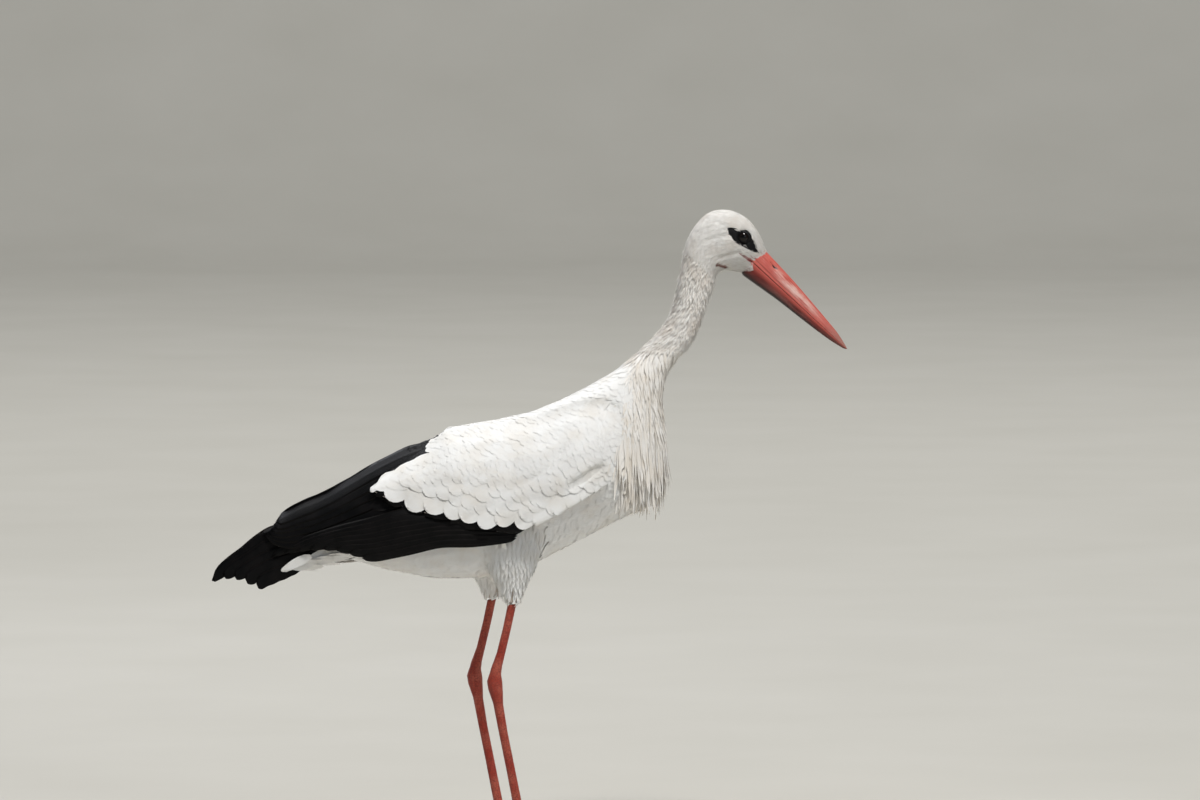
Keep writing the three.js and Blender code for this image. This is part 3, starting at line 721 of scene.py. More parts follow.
finish = {
    # white finishes: clean and worn colours, the painted shade at each vane's root, barbs to a vane, streaks
    "white": whiteFeather("bodyFeatherWhite", "#F7F7F6", "#ECE6DD", "#E2DFDA", 26.0, 0.1),
    "plume": whiteFeather("breastPlumeWhite", "#F7F5F2", "#E6DDD0", "#DAD6CF", 8.0, 0.55),
    "down": whiteFeather("faceDownWhite", "#F9F8F5", "#E6DED5", "#DEDAD4", 5.0, 0.5),
    "black": blackFeather(),
    "skin": bareSkin(),
    # painted light and shade: the upper half's colours are paler, with a strong painted highlight; the lower
    # half's darker, with almost none
    "upperHorn": hornMaterial("billHornUpper", "#D16D60", "#B6483D", None, "#A8766A", 1.15),
    "lowerHorn": hornMaterial("billHornLower", "#7C1B13", "#520E0A", "#0C0303", "#6A3A30", 0.12),
    "leg": legSkin(),
    "claw": clawHorn(),
}
print("stage: materials")


def finished(name, mesh, kind, replaced=()):
    # a finished piece: its material, its body, the nodes it stands for
    mesh.materials.clear()
    mesh.materials.append(finish[kind])
    piece = showMesh(name, mesh)
    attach(piece, "root")
    if replaced:
        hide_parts(*replaced)


def makeSkin():
    # one surface for all the flesh, under the coat by its depth
    names = plumage["flesh"]
    body = softForm(names, plumage)
    bridged(body)
    depths = [plumage["depth"][name.split("_")[0]] * mm for name in names]
    depth = averaged(np.array(depths)[nearestNode(body["points"], names)], body["edges"], 12)
    points = body["points"] - body["normals"] * depth[:, None]
    for i, point in enumerate(points):
        place, normal = form["search"].find_nearest(Vector(point))[:2]
        least = plumage["leastDepth"] * depth[i]
        if (Vector(point) - place).dot(normal) > -least:
            points[i] = place - normal * least
    setPoints(body["mesh"], averaged(points, body["edges"], 2))
    finished("skin", body["mesh"], "skin", names)


makeSkin()
print("stage: skin")


def billRadii():
    # half heights over and under the gape line and half width, by rays on the CAD halves
    upper, lower = (treeOf(nodes[name].data)[0] for name in plumage["horn"])
    places = np.linspace(2.5 * mm, billLong - 1.0 * mm, bill["rays"])
    up, out = Vector((billUp[0], 0.0, billUp[1])), Vector((0.0, 1.0, 0.0))
    reach = 0.06
    found = []
    for s in places:
        flat = bill["root"] + billWay * s
        centre = Vector((flat[0], 0.0, flat[1]))
        hits = (upper.ray_cast(centre + up * reach, -up)[3], lower.ray_cast(centre - up * reach, up)[3],
                upper.ray_cast(centre + up * 0.6 * mm + out * reach, -out)[3])
        found.append([reach - hit if hit else math.nan for hit in hits])
    found = np.array(found)
    for column in found.T:
        missed = np.isnan(column)  # a ray that slips through an edge
        column[missed] = np.interp(places[missed], places[~missed], column[~missed])
    kernel = np.hanning(bill["window"])
    kernel /= kernel.sum()
    ends = bill["window"] // 2
    padded = np.pad(found, ((ends, ends), (0, 0)), mode="reflect", reflect_type="odd")
    return places, np.stack([np.convolve(padded[:, k], kernel, "valid") for k in range(3)], axis=1)


# the halves' sections: powers for the flat sides and the rounded ridge, share of the width, edge and palate
billHalves = {
    "upper": dict(sign=1.0, side=0.92, ridge=1.12, wide=1.0, start=-bill["lap"], palate=0.35 * mm),
    "lower": dict(sign=-1.0, side=0.8, ridge=0.9, wide=0.985, start=0.0, palate=0.1 * mm),
}


def makeBill():
    places, radii = billRadii()
    s = np.linspace(-bill["inside"], billLong + bill["past"], bill["steps"])
    slopes = (radii[4] - radii[0]) / (places[4] - places[0])
    # past the last ray the halves close in a blunt point, and inside the face they narrow
    shut = np.clip((billLong + bill["past"] - s) / bill["blunt"], 0, 1)
    shut = np.clip(np.sqrt(shut), 0.02, 1)
    shut = shut * (1 - 0.35 * smoothStep(-s, 0, bill["inside"]))
    top, low, wide = ((np.interp(s, places, radii[:, k]) + slopes[k] * np.minimum(s - places[0], 0)) * shut
                      for k in range(3))
    angle = np.linspace(-math.pi / 2, math.pi / 2, bill["arc"] + 1)
    # a shallow groove runs along each side, just over the cutting edge
    turn, width, deep = bill["groove"]
    groove = np.exp(-((np.abs(angle) - turn) / width) ** 2)[None]
    groove = groove * smoothStep(0.7 * billLong - s, 0, 0.3 * billLong)[:, None] * deep * mm
    for name, height in (("upper", top), ("lower", low)):
        half = billHalves[name]
        side = np.sign(np.sin(angle)) * np.abs(np.sin(angle)) ** half["side"]
        rise = (np.cos(angle) ** half["ridge"])[None]
        y = wide[:, None] * side[None] * half["wide"] - np.sign(angle)[None] * groove
        n = half["sign"] * (half["start"] + (height[:, None] - half["start"]) * rise)
        if name == "upper":
            y, n = nostrils(y, n, s, angle, wide)
        # the palate side: a shallow hollow that shuts the half
        inner = np.linspace(1, -1, 5)[1:-1]
        ringY = np.concatenate([y, wide[:, None] * inner[None] * 0.9], axis=1)
        ringN = np.concatenate([n, np.full((len(s), 3), half["palate"])], axis=1)
        flat = bill["root"] + s[:, None, None] * billWay + ringN[..., None] * billUp
        rows, columns = ringY.shape
        mesh = meshOf("bill", np.stack([flat[..., 0], ringY, flat[..., 1]], axis=-1),
                      gridFaces(rows, columns, wrap=True))
        tidyShell(mesh, [range(columns), range((rows - 1) * columns, rows * columns)])
        around = np.concatenate([angle / math.pi + 0.5, 1 + np.linspace(0.2, 0.8, 3)]) / 2
        along = np.clip(s, 0, None) / billLong
        grid = np.stack(np.broadcast_arrays(along[:, None], around[None]), axis=-1).reshape(-1, 2)
        addMap(mesh, "Horn", np.concatenate([grid, [[0.5, 0.5]] * 2]))
        finished("bill_" + name, mesh, name + "Horn", ["bill_" + name])


def nostrils(y, n, s, angle, wide):
    # one sunk slit on each side
    hole = bill["nostril"]
    for turn in (-1, 1):
        spread = (angle[None] - turn * math.radians(hole["angle"])) * wide[:, None] * 1.3
        local = s[:, None] - hole["s"]
        tilt = math.radians(hole["turn"]) * turn
        a = (local * math.cos(tilt) + spread * math.sin(tilt)) / hole["long"]
        b = (-local * math.sin(tilt) + spread * math.cos(tilt)) / hole["tall"]
        sunk = smoothStep(1.25 - np.sqrt(a * a + b * b), 0, 0.75) * hole["deep"]
        y, n = y - np.sin(angle)[None] * sunk, n - np.cos(angle)[None] * sunk
    return y, n


makeBill()
print("stage: bill")

eye = {
    "pupil": 2.6 * mm,
    "iris": 5.6 * mm,
    "rings": 28,
    "around": 48,
    "cornea": 0.035,  # how far the cornea stands proud, as a share of the radius
    "opening": 5.9 * mm,  # from the middle of the eye to the lid's edge
    "stretch": 1.10,  # the opening is longer along the lens than across it
    "lidFlank": 3.4 * mm,
    "lidRim": 0.9 * mm,
    "lidRows": 12,
    "lidAround": 72,
    "rimShare": 0.45,  # the part of the lid's width that is its rim; the rest runs out under the feathers
    "lidThick": 0.5 * mm,
    "lidClose": 0.25 * mm,  # how far its foot sinks into the ball, and its outer edge under the skin
    "lidSunk": 0.6 * mm,
    "creases": (0.22 * mm, 19.0),  # their height, and radians of their wave from the rim to the edge
}


def makeEye(side):
    low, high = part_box("eye_" + side)
    centre, radius = (low + high) / 2, (high.x - low.x) / 2
    points = []
    for i in range(eye["rings"] + 1):
        polar = math.pi * i / eye["rings"]
        bulge = 1 + eye["cornea"] * max(0.0, math.cos(polar)) ** 8
        for k in range(eye["around"]):
            turn = 2 * math.pi * k / eye["around"]
            flat = radius * math.sin(polar)
            points.append((centre.x + flat * math.cos(turn),
                           centre.y + sides[side] * radius * bulge * math.cos(polar),
                           centre.z + flat * math.sin(turn)))
    mesh = meshOf("eye", points, gridFaces(eye["rings"] + 1, eye["around"], wrap=True))
    tidyShell(mesh)
    finish["eye"] = wetEye(centre, eye["pupil"], eye["iris"])
    finished("eye_" + side, mesh, "eye", ["eye_" + side])
    return centre, radius


def makeLids(side, centre, radius):
    # a soft rim round the opening, closely on the ball, that runs out under the feathers
    lean = math.atan2(lensWay[1], lensWay[0])
    points = []

    def ballHeight(flat):
        return math.sqrt(max(radius ** 2 - min(flat, radius * 0.99) ** 2, 0)) - eye["lidClose"]

    for i in range(eye["lidRows"]):
        share = i / (eye["lidRows"] - 1)
        crease = eye["creases"][0] * math.cos(share * eye["creases"][1]) * math.sin(math.pi * share)
        rim = eye["lidRim"] * math.sin(math.pi * min(1.0, share * 2.2 + 0.08)) ** 0.6
        fade = (max(share - eye["rimShare"], 0.0) / (1 - eye["rimShare"])) ** 0.8 * 0.55
        for k in range(eye["lidAround"]):
            turn = 2 * math.pi * k / eye["lidAround"]
            longer = (eye["stretch"] - 1) * math.cos(turn - lean) ** 2
            inner = eye["opening"] * (1 + longer)
            flat = inner + eye["lidFlank"] * max(0.0, share - 0.12) * (1 + 5 * longer)
            if share < eye["rimShare"]:
                height = ballHeight(flat) + rim + crease
            else:
                edge = ballHeight(inner + eye["lidFlank"] * 0.33)
                height = edge - (eye["lidSunk"] + edge) * fade + crease
            points.append((centre.x + flat * math.cos(turn), centre.y + sides[side] * height,
                           centre.z + flat * math.sin(turn)))
    mesh = meshOf("lids", points, gridFaces(eye["lidRows"], eye["lidAround"], wrap=True))
    tidyShell(mesh)
    solid = evaluated(showMesh("rough", mesh), "SOLIDIFY", thickness=eye["lidThick"], offset=0.0)
    finished("eyelids_" + side, solid, "skin")


for sideName in sides:
    makeLids(sideName, *makeEye(sideName))
print("stage: eyes")

leg = {
    "voxel": 1.15 * mm,
    "grow": 0.35 * mm,
    "passes": 9,
    "scute": 4.6 * mm,  # from one broad plate of the toes to the next
    "scuteTop": 24 * mm,
    "scuteDeep": 0.35 * mm,
    "ball": 7 * mm,  # the ball of the foot, behind the front of the tarsus
}


def makeLeg(side):
    names = [part + "_" + side for part in ("shank", "tarsus", "foot")]
    made = softForm(names, leg)
    points, facing = made["points"], made["facing"]
    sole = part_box("foot_" + side)[0].z
    points[:, 2] = np.maximum(points[:, 2], sole)
    # broad plates across the top of each toe, counted out from the ball of the foot
    low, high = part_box("tarsus_" + side)
    reach = np.hypot(points[:, 0] - (high.x - leg["ball"]), points[:, 1] - (low.y + high.y) / 2)
    wave = np.abs(((reach / leg["scute"]) % 1.0) - 0.5) * 2  # 1 in the groove
    on = smoothStep(facing[:, 2], 0.0, 0.4) * smoothStep(leg["scuteTop"] - points[:, 2], 0, 6 * mm)
    groove = smoothStep(wave, 0.72, 1.0) * on
    points -= facing * (groove * leg["scuteDeep"])[:, None]
    points[:, 2] = np.maximum(points[:, 2], sole)
    setPoints(made["mesh"], points)
    store(made["mesh"], {"scute": groove})
    finished("leg_" + side, made["mesh"], "leg", names)


def makeClaws(side):
    names = ["claw_" + side + "_" + toe for toe in ("inner", "middle", "outer", "hind")]
    thing = showMesh("rough", joinedCopy(names, 0.0))
    thing.data.shade_smooth()
    mesh = evaluated(thing, "SUBSURF", levels=2, render_levels=2)
    points = pointsOf(mesh)
    points[:, 2] = np.maximum(points[:, 2], 0.0)
    setPoints(mesh, points)
    finished("claws_" + side, mesh, "claw", names)


for sideName in sides:
    makeLeg(sideName)
    makeClaws(sideName)
print("stage: legs and claws")

# feathers by geometry nodes: a vane at each point, its tip there, laid along the form and realized;
# what a coat leaves out of its own settings is taken from here
plainCoat = dict(
    spacing=0.0,  # the least distance between two tips
    density=1e6,  # the most tips to a square metre
    jitter=0.1,  # how far each strays from the lie, and spread, by how much its size does
    spread=0.2,
    root=3.0 * mm,  # how deep the root lies, how high the tip stands, and how far each strays in height
    lift=0.3 * mm,
    loft=0.3 * mm,
    camber=0.1,  # how far the sides of the vane bow down, to its width
    hug=1.0,  # 1 follows the form, and free loosens that towards the tip
    free=0.0,
    ruffle=1.0 * mm,
    clump=0.0,  # how far neighbours lean together in locks, and clumpScale, locks to a metre
    clumpScale=60.0,
    tintLow=0.0,
    tintHigh=0.3,
    patch=0.003,  # side of a feather's own place on the bake map
    seed=1,
    finish="white",
)
featherInputs = {**dict.fromkeys(plainCoat, "Float"), "seed": "Int", "form": "Object", "vane": "Object",
                 "finish": "Material"}


def featherTree(scatter):
    # the tree, and the identifiers of its inputs
    tree = bpy.data.node_groups.new("plumageScatter" if scatter else "plumageRows", "GeometryNodeTree")
    for way in ("OUTPUT", "INPUT"):
        tree.interface.new_socket("Geometry", in_out=way, socket_type="NodeSocketGeometry")
    keys = {name: tree.interface.new_socket(name, in_out="INPUT", socket_type="NodeSocket" + kind).identifier
            for name, kind in featherInputs.items()}
    add = partial(addNode, tree)
    given = add("GroupInput").outputs
    layers = {"FLOAT": ("cover", "along", "across", "loft"),
              "FLOAT_VECTOR": ("upward", "lie", "vaneSize", "bakeSpot", "grownSize", "bakeRoot", "Vane")}
    read = {name: add("InputNamedAttribute " + kind, name)
            for kind, names in layers.items() for name in names}

    # where the feathers go
    if scatter:
        points = add("DistributePointsOnFaces", given["Geometry"], Distance_Min=given["spacing"],
                     Density_Max=given["density"], Density_Factor=read["cover"], Seed=given["seed"],
                     distribute_method="POISSON")
    else:
        points = add("MeshToPoints", given["Geometry"])
    surface = add("ObjectInfo", given["form"]).outputs["Geometry"]
    position = add("InputPosition")

    # which way each lies, and how long and wide it is; neighbours lean together, in locks
    sway = add("RandomValue FLOAT_VECTOR", Min=(-1.0, -1.0, -1.0), Max=(1.0, 1.0, 1.0), Seed=given["seed"])
    own = {}
    for shift, key in enumerate(("spread", "tint", "loft"), 1):
        low = given["tintLow"] if key == "tint" else add("Math MULTIPLY", given[key], -1.0)
        high = given["tintHigh"] if key == "tint" else given[key]
        own[key] = add("RandomValue FLOAT", Min=low, Max=high, Seed=add("Math ADD", given["seed"], shift))
    lock = add("TexNoise", position, Scale=given["clumpScale"], Detail=1.0).outputs
    leaning = add("VectorMath SCALE", add("VectorMath SUBTRACT", lock["Color"], (0.5, 0.5, 0.5)),
                  Scale=add("Math MULTIPLY", given["clump"], 2.0))
    sway = add("VectorMath ADD", add("VectorMath SCALE", sway, Scale=given["jitter"]), leaning)
    way = add("VectorMath NORMALIZE", add("VectorMath ADD", read["lie"], sway))
    size = add("VectorMath SCALE", read["vaneSize"], Scale=add("Math ADD", 1.0, own["spread"]))
    back = add("VectorMath SCALE", way, Scale=add("SeparateXYZ", size).outputs["Y"])
    spot = add("SampleNearestSurface FLOAT_VECTOR", surface, read["bakeSpot"],
               Sample_Position=add("VectorMath SUBTRACT", position, back))
    lofty = add("Math SUBTRACT", lock["Fac"], 0.5)
    lofty = add("Math MULTIPLY", lofty, add("Math MULTIPLY", given["loft"], 3.0))
    lofty = add("Math ADD", lofty, own["loft"])
    for name, value, kind in (("bakeRoot", spot, "FLOAT_VECTOR"), ("grownSize", size, "FLOAT_VECTOR"),
                              ("tint", own["tint"], "FLOAT"), ("loft", lofty, "FLOAT")):
        points = add("StoreNamedAttribute " + kind, points, Name=name, Value=value, domain="POINT")
    turn = add("AxesToRotation", way, read["upward"], primary_axis="Y", secondary_axis="Z")
    vane = add("ObjectInfo", given["vane"]).outputs["Geometry"]
    real = add("RealizeInstances", add("InstanceOnPoints", points, Instance=vane, Rotation=turn, Scale=size))

    # lay every vane along the form: low at its root, over the next feather at its tip
    wide, _, relief = add("SeparateXYZ", read["grownSize"]).outputs
    sunk = add("Math MULTIPLY", add("Math SUBTRACT", read["along"], 1.0), given["root"])
    lifted = add("Math MULTIPLY", add("Math POWER", read["along"], 3.0), given["lift"])
    bowed = add("Math MULTIPLY", add("Math POWER", read["across"], 2.0), wide)
    bowed = add("Math MULTIPLY", bowed, given["camber"])
    lofted = add("Math SUBTRACT", add("Math MULTIPLY", read["loft"], read["along"]), bowed)
    height = add("Math ADD", add("Math ADD", sunk, lifted), lofted)
    height = add("Math MULTIPLY", height, relief)  # Z of the size flattens or deepens it all
    base = add("SampleNearestSurface FLOAT_VECTOR", surface, position, Sample_Position=position)
    normal = add("SampleNearestSurface FLOAT_VECTOR", surface, read["upward"], Sample_Position=position)
    rise = add("VectorMath SCALE", add("VectorMath NORMALIZE", normal), Scale=height)
    loosened = add("Math MULTIPLY", given["free"], read["along"])
    held = add("Math SUBTRACT", given["hug"], loosened, use_clamp=True)
    laid = add("VectorMath ADD", position, rise)
    laid = add("Mix VECTOR", held, A=laid, B=add("VectorMath ADD", base, rise))
    wave = add("TexNoise", position, Scale=260.0, Detail=1.0).outputs["Color"]
    ruffled = add("Math MULTIPLY", add("Math MULTIPLY", given["ruffle"], read["along"]), relief)
    wave = add("VectorMath SCALE", add("VectorMath SUBTRACT", wave, (0.5, 0.5, 0.5)), Scale=ruffled)
    real = add("SetPosition", real, Position=add("VectorMath ADD", laid, wave))

    # the bake map: each feather is one small patch at its root's place
    local = add("VectorMath SUBTRACT", read["Vane"], (0.5, 0.5, 0.0))
    spot = add("VectorMath ADD", read["bakeRoot"], add("VectorMath SCALE", local, Scale=given["patch"]))
    real = add("StoreNamedAttribute FLOAT2", real, Name="OFBake", Value=spot, domain="CORNER")
    add("GroupOutput", add("SetMaterial", add("SetShadeSmooth", real), Material=given["finish"]))
    return tree, keys


trees = {scatter: featherTree(scatter) for scatter in (True, False)}


def makeVane(name, rows, columns, outline, fray=0.0, root=-1.0):
    # a flat vane along Y, from root to root + 1 at its tip, one unit wide
    t = 1 - (1 - np.linspace(0, 1, rows)) ** 2.0  # closer rows towards the tip
    c = np.linspace(-1, 1, columns)
    x = np.array([outline(v) for v in t])[:, None] * c[None]
    # barbs split at the end of the vane: every other column stops short
    short = fray * (np.arange(columns) % 2)[None] * smoothStep(t, 0.45, 1.0)[:, None]
    y = np.broadcast_to(t[:, None] + root, x.shape) - short
    mesh = meshOf(name, np.stack([x, y, np.zeros_like(x)], axis=-1), gridFaces(rows, columns))
    store(mesh, {"along": np.broadcast_to(t[:, None], x.shape), "across": 2 * x})
    grid = np.stack(np.broadcast_arrays(0.5 + 0.5 * c[None], t[:, None]), axis=-1)
    addMap(mesh, "Vane", grid.reshape(-1, 2))
    thing = showMesh(name, mesh)
    thing.hide_render = True
    return thing


# for each vane: rows, columns, half width along it (0 at the root, 1 at the tip), fray, root
vaneShapes = {
    # broad and round-ended, as on the back and belly
    "contour": (7, 7, lambda t: 0.5 * math.sin(math.pi * (0.08 + 0.92 * t) ** 1.25) ** 0.6 + 0.012),
    # a wing covert: squarer end
    "covert": (10, 9, lambda t: 0.5 * min(1.0, 0.35 + 1.3 * t)
               * max(0.0, 1 - max(0.0, (t - 0.72) / 0.28) ** 2.2) ** 0.5 + 0.01, 0.012),
    # narrow and pointed, as on the thigh
    "plume": (10, 5, lambda t: 0.5 * math.sin(math.pi * (0.05 + 0.95 * t) ** 0.8) ** 0.75 + 0.01),
    # long and pointed, rooted at its point, for the breast plumes that hang free
    "hackle": (13, 5, lambda t: 0.5 * min(1.0, 0.4 + 3.0 * t) * (1 - t ** 2.2) ** 0.8 + 0.012, 0.0, 0.0),
    # narrow, almost a hair
    "blade": (4, 3, lambda t: 0.5 * (1 - t) ** 0.6 * min(1.0, 0.45 + 2.5 * t) + 0.03),
}
vanes = {name: makeVane(name, *shape) for name, shape in vaneShapes.items()}


def layFeathers(name, coat, cover=None, lie=None, size=None, rows=None):
    # one piece of plumage; rows holds ready points, or else cover spreads them over the form
    mesh = form["mesh"]
    used = cover > 0.01 if rows is None else rows["near"]
    store(mesh, {"upward": form["normals"], "bakeSpot": bakeSpots(used)}, "FLOAT_VECTOR")
    surface = showMesh("formSurface", mesh)
    if rows is None:
        store(mesh, {"cover": cover})
        store(mesh, {"lie": lie, "vaneSize": size}, "FLOAT_VECTOR")
    else:
        mesh = bpy.data.meshes.new("rows")
        mesh.vertices.add(len(rows["points"]))
        mesh.vertices.foreach_set("co", rows["points"].ravel())
        store(mesh, {"lie": rows["lie"], "upward": rows["upward"], "vaneSize": rows["size"]}, "FLOAT_VECTOR")
    carrier = showMesh("carrier", mesh)
    change = carrier.modifiers.new("feathers", "NODES")
    change.node_group, keys = trees[rows is None]
    coat = {**plainCoat, **coat}
    values = {**coat, "form": surface, "vane": vanes[coat["vane"]], "finish": finish[coat["finish"]]}
    for key in featherInputs:
        change[keys[key]] = values[key]
    made = evaluated(carrier)
    bpy.data.objects.remove(surface)
    for layer in ("bakeRoot", "grownSize", "loft", "upward", "lie", "vaneSize", "cover", "bakeSpot", "along",
                  "across"):
        if made.attributes.get(layer):
            made.attributes.remove(made.attributes[layer])
    finished(name, made, coat["finish"])
    print("stage:", name, len(made.polygons), "faces")


def bakeSpots(used):
    # the unrolled skin: along the body one way and round it the other, fitted to this piece's own part
    spots = []
    for value in (form["place"], form["angle"] / (2 * math.pi) + 0.5):
        low, high = value[used].min(), value[used].max()
        spots.append(0.01 + 0.98 * np.clip((value - low) / (high - low), 0, 1))
    return np.stack([*spots, np.zeros(len(used))], axis=1)


def sideRelief(name, steps=90, down=30):
    # the outer face of a wing layer, on the right: its top and low edge for each x, and how far out between
    search = treeOf(nodes[name].data)[0]
    low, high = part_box(name)
    xs = np.linspace(low.x + 1.2 * mm, high.x - 1.2 * mm, steps)
    zs = np.linspace(low.z + 0.3 * mm, high.z - 0.3 * mm, 150)
    tops, lows, outs = [], [], []
    for x in xs:
        hits = [(z, search.ray_cast(Vector((x, -1.0, z)), Vector((0.0, 1.0, 0.0)))[0]) for z in zs]
        z, y = np.array([(z, hit.y) for z, hit in hits if hit]).T
        tops.append(z[-1])
        lows.append(z[0])
        outs.append(np.interp(np.linspace(z[-1], z[0], down), z, y))
    tops, lows, outs = np.array(tops), np.array(lows), np.array(outs)
    # takes the facets out, mostly along the wing
    for values, passes in ((tops, 14), (lows, 14), (outs, 14), (outs.T, 5)):
        for i in range(passes):
            values[1:-1] += 0.5 * ((values[2:] + values[:-2]) / 2 - values[1:-1])
    return {"x": xs, "top": tops, "low": lows, "out": outs}


def reliefPoint(relief, x, v):
    # a point of the outer face; v is 0 on its top edge and 1 on its low edge, and may run past both
    steps, down = relief["out"].shape
    column = np.clip(np.interp(x, relief["x"], np.arange(steps)), 0, steps - 1.001)
    row = np.clip(v, 0, 1) * (down - 1.001)
    i, j = column.astype(int), row.astype(int)
    a, b = column - i, row - j
    out = relief["out"]
    y = (out[i, j] * (1 - a) * (1 - b) + out[i + 1, j] * a * (1 - b)
         + out[i, j + 1] * (1 - a) * b + out[i + 1, j + 1] * a * b)
    top, low = np.interp(x, relief["x"], relief["top"]), np.interp(x, relief["x"], relief["low"])
    # past an edge the face runs on as it was just inside
    rise = (out[i, 2] - out[i, 0]) / 2 * (down - 1)
    fall = (out[i, down - 1] - out[i, down - 3]) / 2 * (down - 1)
    y = y + rise * np.minimum(v, 0) + fall * np.maximum(v - 1, 0)
    return np.stack([x, y, top + (low - top) * v], axis=-1)


def reliefNormal(relief, x, v):
    step = 1.5 * mm
    dv = step / np.maximum(np.interp(x, relief["x"], relief["top"] - relief["low"]), 4 * mm)
    ahead = reliefPoint(relief, x + step, v) - reliefPoint(relief, x - step, v)
    below = reliefPoint(relief, x, v + dv) - reliefPoint(relief, x, v - dv)
    return unit(np.cross(below, ahead))


x, y, z = form["points"].T
count = len(x)


def onSurface(ways, normals):
    # directions laid flat on the surface
    return unit(ways - normals * np.sum(ways * normals, axis=1, keepdims=True))


def coatLie():
    # which way the coat lies, everywhere
    drop = 0.35 + 0.45 * smoothStep(0.50 - z + 0.35 * x, -0.02, 0.08)
    bend = owned("wing") * smoothStep(x, 0.070, 0.100) * smoothStep(0.540 - z, 0, 0.04)
    lie = form["heading"]
    onWings = np.stack([-np.ones_like(x), np.zeros_like(x), -drop], axis=1)
    for share, way in ((owned("breast"), np.array([-0.08, 0.0, -1.0])),
                       (owned("thigh"), np.array([-0.10, 0.0, -1.0])),
                       (owned("wing"), onWings), (bend, np.array([-0.45, 0.0, -1.0]))):
        lie = lie * (1 - share[:, None]) + way * share[:, None]
    return onSurface(averaged(lie, form["edges"], 14), form["normals"])


def sizes(wide, long, relief=1.0):
    return np.stack([np.broadcast_to(value, count) for value in (wide, long, relief)], axis=1)


form["lie"] = coatLie()

headCoat = dict(vane="blade", spacing=0.82 * mm, density=2.0e6, jitter=0.12, spread=0.3, root=1.5 * mm,
                loft=0.28 * mm, ruffle=0.7 * mm, clump=0.35, clumpScale=110.0, tintHigh=0.45, seed=11,
                finish="down")
fineness = smoothStep((bill["root"][0] - x) * billWay[0] + (bill["root"][1] - z) * billWay[1], 0, 60 * mm)
headLong = (4.8 + 6.5 * fineness) * mm


def clearOfBare(long):
    # 1 where no part of a blade of that length stands on bare skin or on the horn
    least = face["clear"]
    clear = np.maximum(owned("head"), owned("bill")) * (pastEdge(form["points"]) < -least["horn"])
    for share in (0.0, 0.25, 0.5, 0.75, 1.0):
        across, _, up = (form["points"] - form["lie"] * (long * share)[:, None]).T
        gaps = [lensMeasure(across, up),
                np.hypot(across - face["eye"][0], up - face["eye"][1]) - least["eye"],
                lineMeasure(across, up, bill["root"] - 2 * mm * billWay, face["gapeEnd"]) - least["gape"],
                lineMeasure(across, up, *face["chin"]) - least["chin"]]
        clear = clear * (np.min(gaps, axis=0) > least["patch"])
    return clear


bladeShare, headCover = np.full(count, 0.4), np.zeros(count)
for share in (0.4, 0.6, 0.8, 1.0):  # short thin blades come closer to the bare parts
    fits = clearOfBare(headLong * share)
    bladeShare = np.where(fits > 0, share, bladeShare)
    headCover = np.maximum(headCover, fits)
tuft = np.hypot((x - face["tuft"][0]) / (3.6 * mm), (z - face["tuft"][1]) / (2.2 * mm)) < 1
bladeWide = np.where(tuft, 0.34 * mm, (1.15 + 0.65 * fineness) * mm * (0.08 + 0.92 * bladeShare))
headCover = np.maximum(headCover, 0.6 * tuft * owned("head"))
layFeathers("headFeathers", headCoat, headCover, form["lie"], sizes(bladeWide, headLong * bladeShare))

neckCoat = dict(vane="blade", spacing=1.45 * mm, density=7e5, jitter=0.12, spread=0.35, lift=0.9 * mm,
                loft=0.85 * mm, camber=0.12, ruffle=1.4 * mm, clump=0.45, clumpScale=80.0, tintHigh=1.0,
                seed=12, finish="down")
neckward = smoothStep(form["place"], 0.2, 0.36)
layFeathers("neckFeathers", neckCoat, owned("neck"), form["lie"],
            sizes((2.2 + 1.6 * neckward) * mm, (12.0 + 12.0 * neckward) * mm))

# over this line (x, z), at the back of the wing, the tertials come out from under the white coverts
quillLine = np.array([(-0.205, 0.4575), (-0.126, 0.5020), (-0.121, 0.530)])
wingFace = sideRelief("wing_right_coverts")
wingTop, wingLow = (np.interp(x, wingFace["x"], wingFace[key]) for key in ("top", "low"))
onWing = owned("wing_right_coverts", "wing_left_coverts")
# 0 on the wing's top edge, 1 on its low edge
wingShare = (wingTop - z) / np.maximum(wingTop - wingLow, 20 * mm)

# back, mantle and scapulars lie smooth and close; the belly's feathers are looser
bodyCoat = dict(vane="contour", spacing=6.4 * mm, density=6e4, jitter=0.08, lift=0.25 * mm, camber=0.006,
                clump=0.2, clumpScale=26.0, tintHigh=0.25, seed=13)
nearWing = averaged(onWing, form["edges"], 6) > 0.03
scapular = np.maximum(nearWing * (wingShare < 0.52) * (x > -0.200), onWing * (x > 0.070))
overLine = z - np.interp(x, *quillLine.T)
onTertials = owned("wing_right_tertials", "wing_left_tertials")
blackZone = np.maximum(nearWing * (overLine > 0) * (x < -0.124), onTertials * (x < -0.126) * (x > -0.20))
whiteBody = np.clip(owned("trunk") + scapular, 0, 1) * (1 - nearWing * (overLine > -4 * mm) * (x < -0.132))
whiteBody = whiteBody * (1 - (np.abs(y) > 62 * mm) * (z < 0.425) * (x < 0.0))
whiteBody = np.maximum(whiteBody, onTertials * (x > -0.130) * (z > 0.47))
flatness = np.clip(smoothStep(form["normals"][:, 2], -0.3, 0.2) + onWing, 0, 1)
flatness = flatness * (1 - 0.6 * onWing * smoothStep(x, 0.05, 0.08) * smoothStep(0.51 - z, 0, 0.03))
neckNear = smoothStep(x, 0.02, 0.13) * (1 - onWing * 0.5)
layFeathers("bodyFeathers", bodyCoat, whiteBody, form["lie"],
            sizes((23 - 9 * neckNear) * mm, (42 - 12 * neckNear) * mm, 1.0 - 0.48 * flatness))

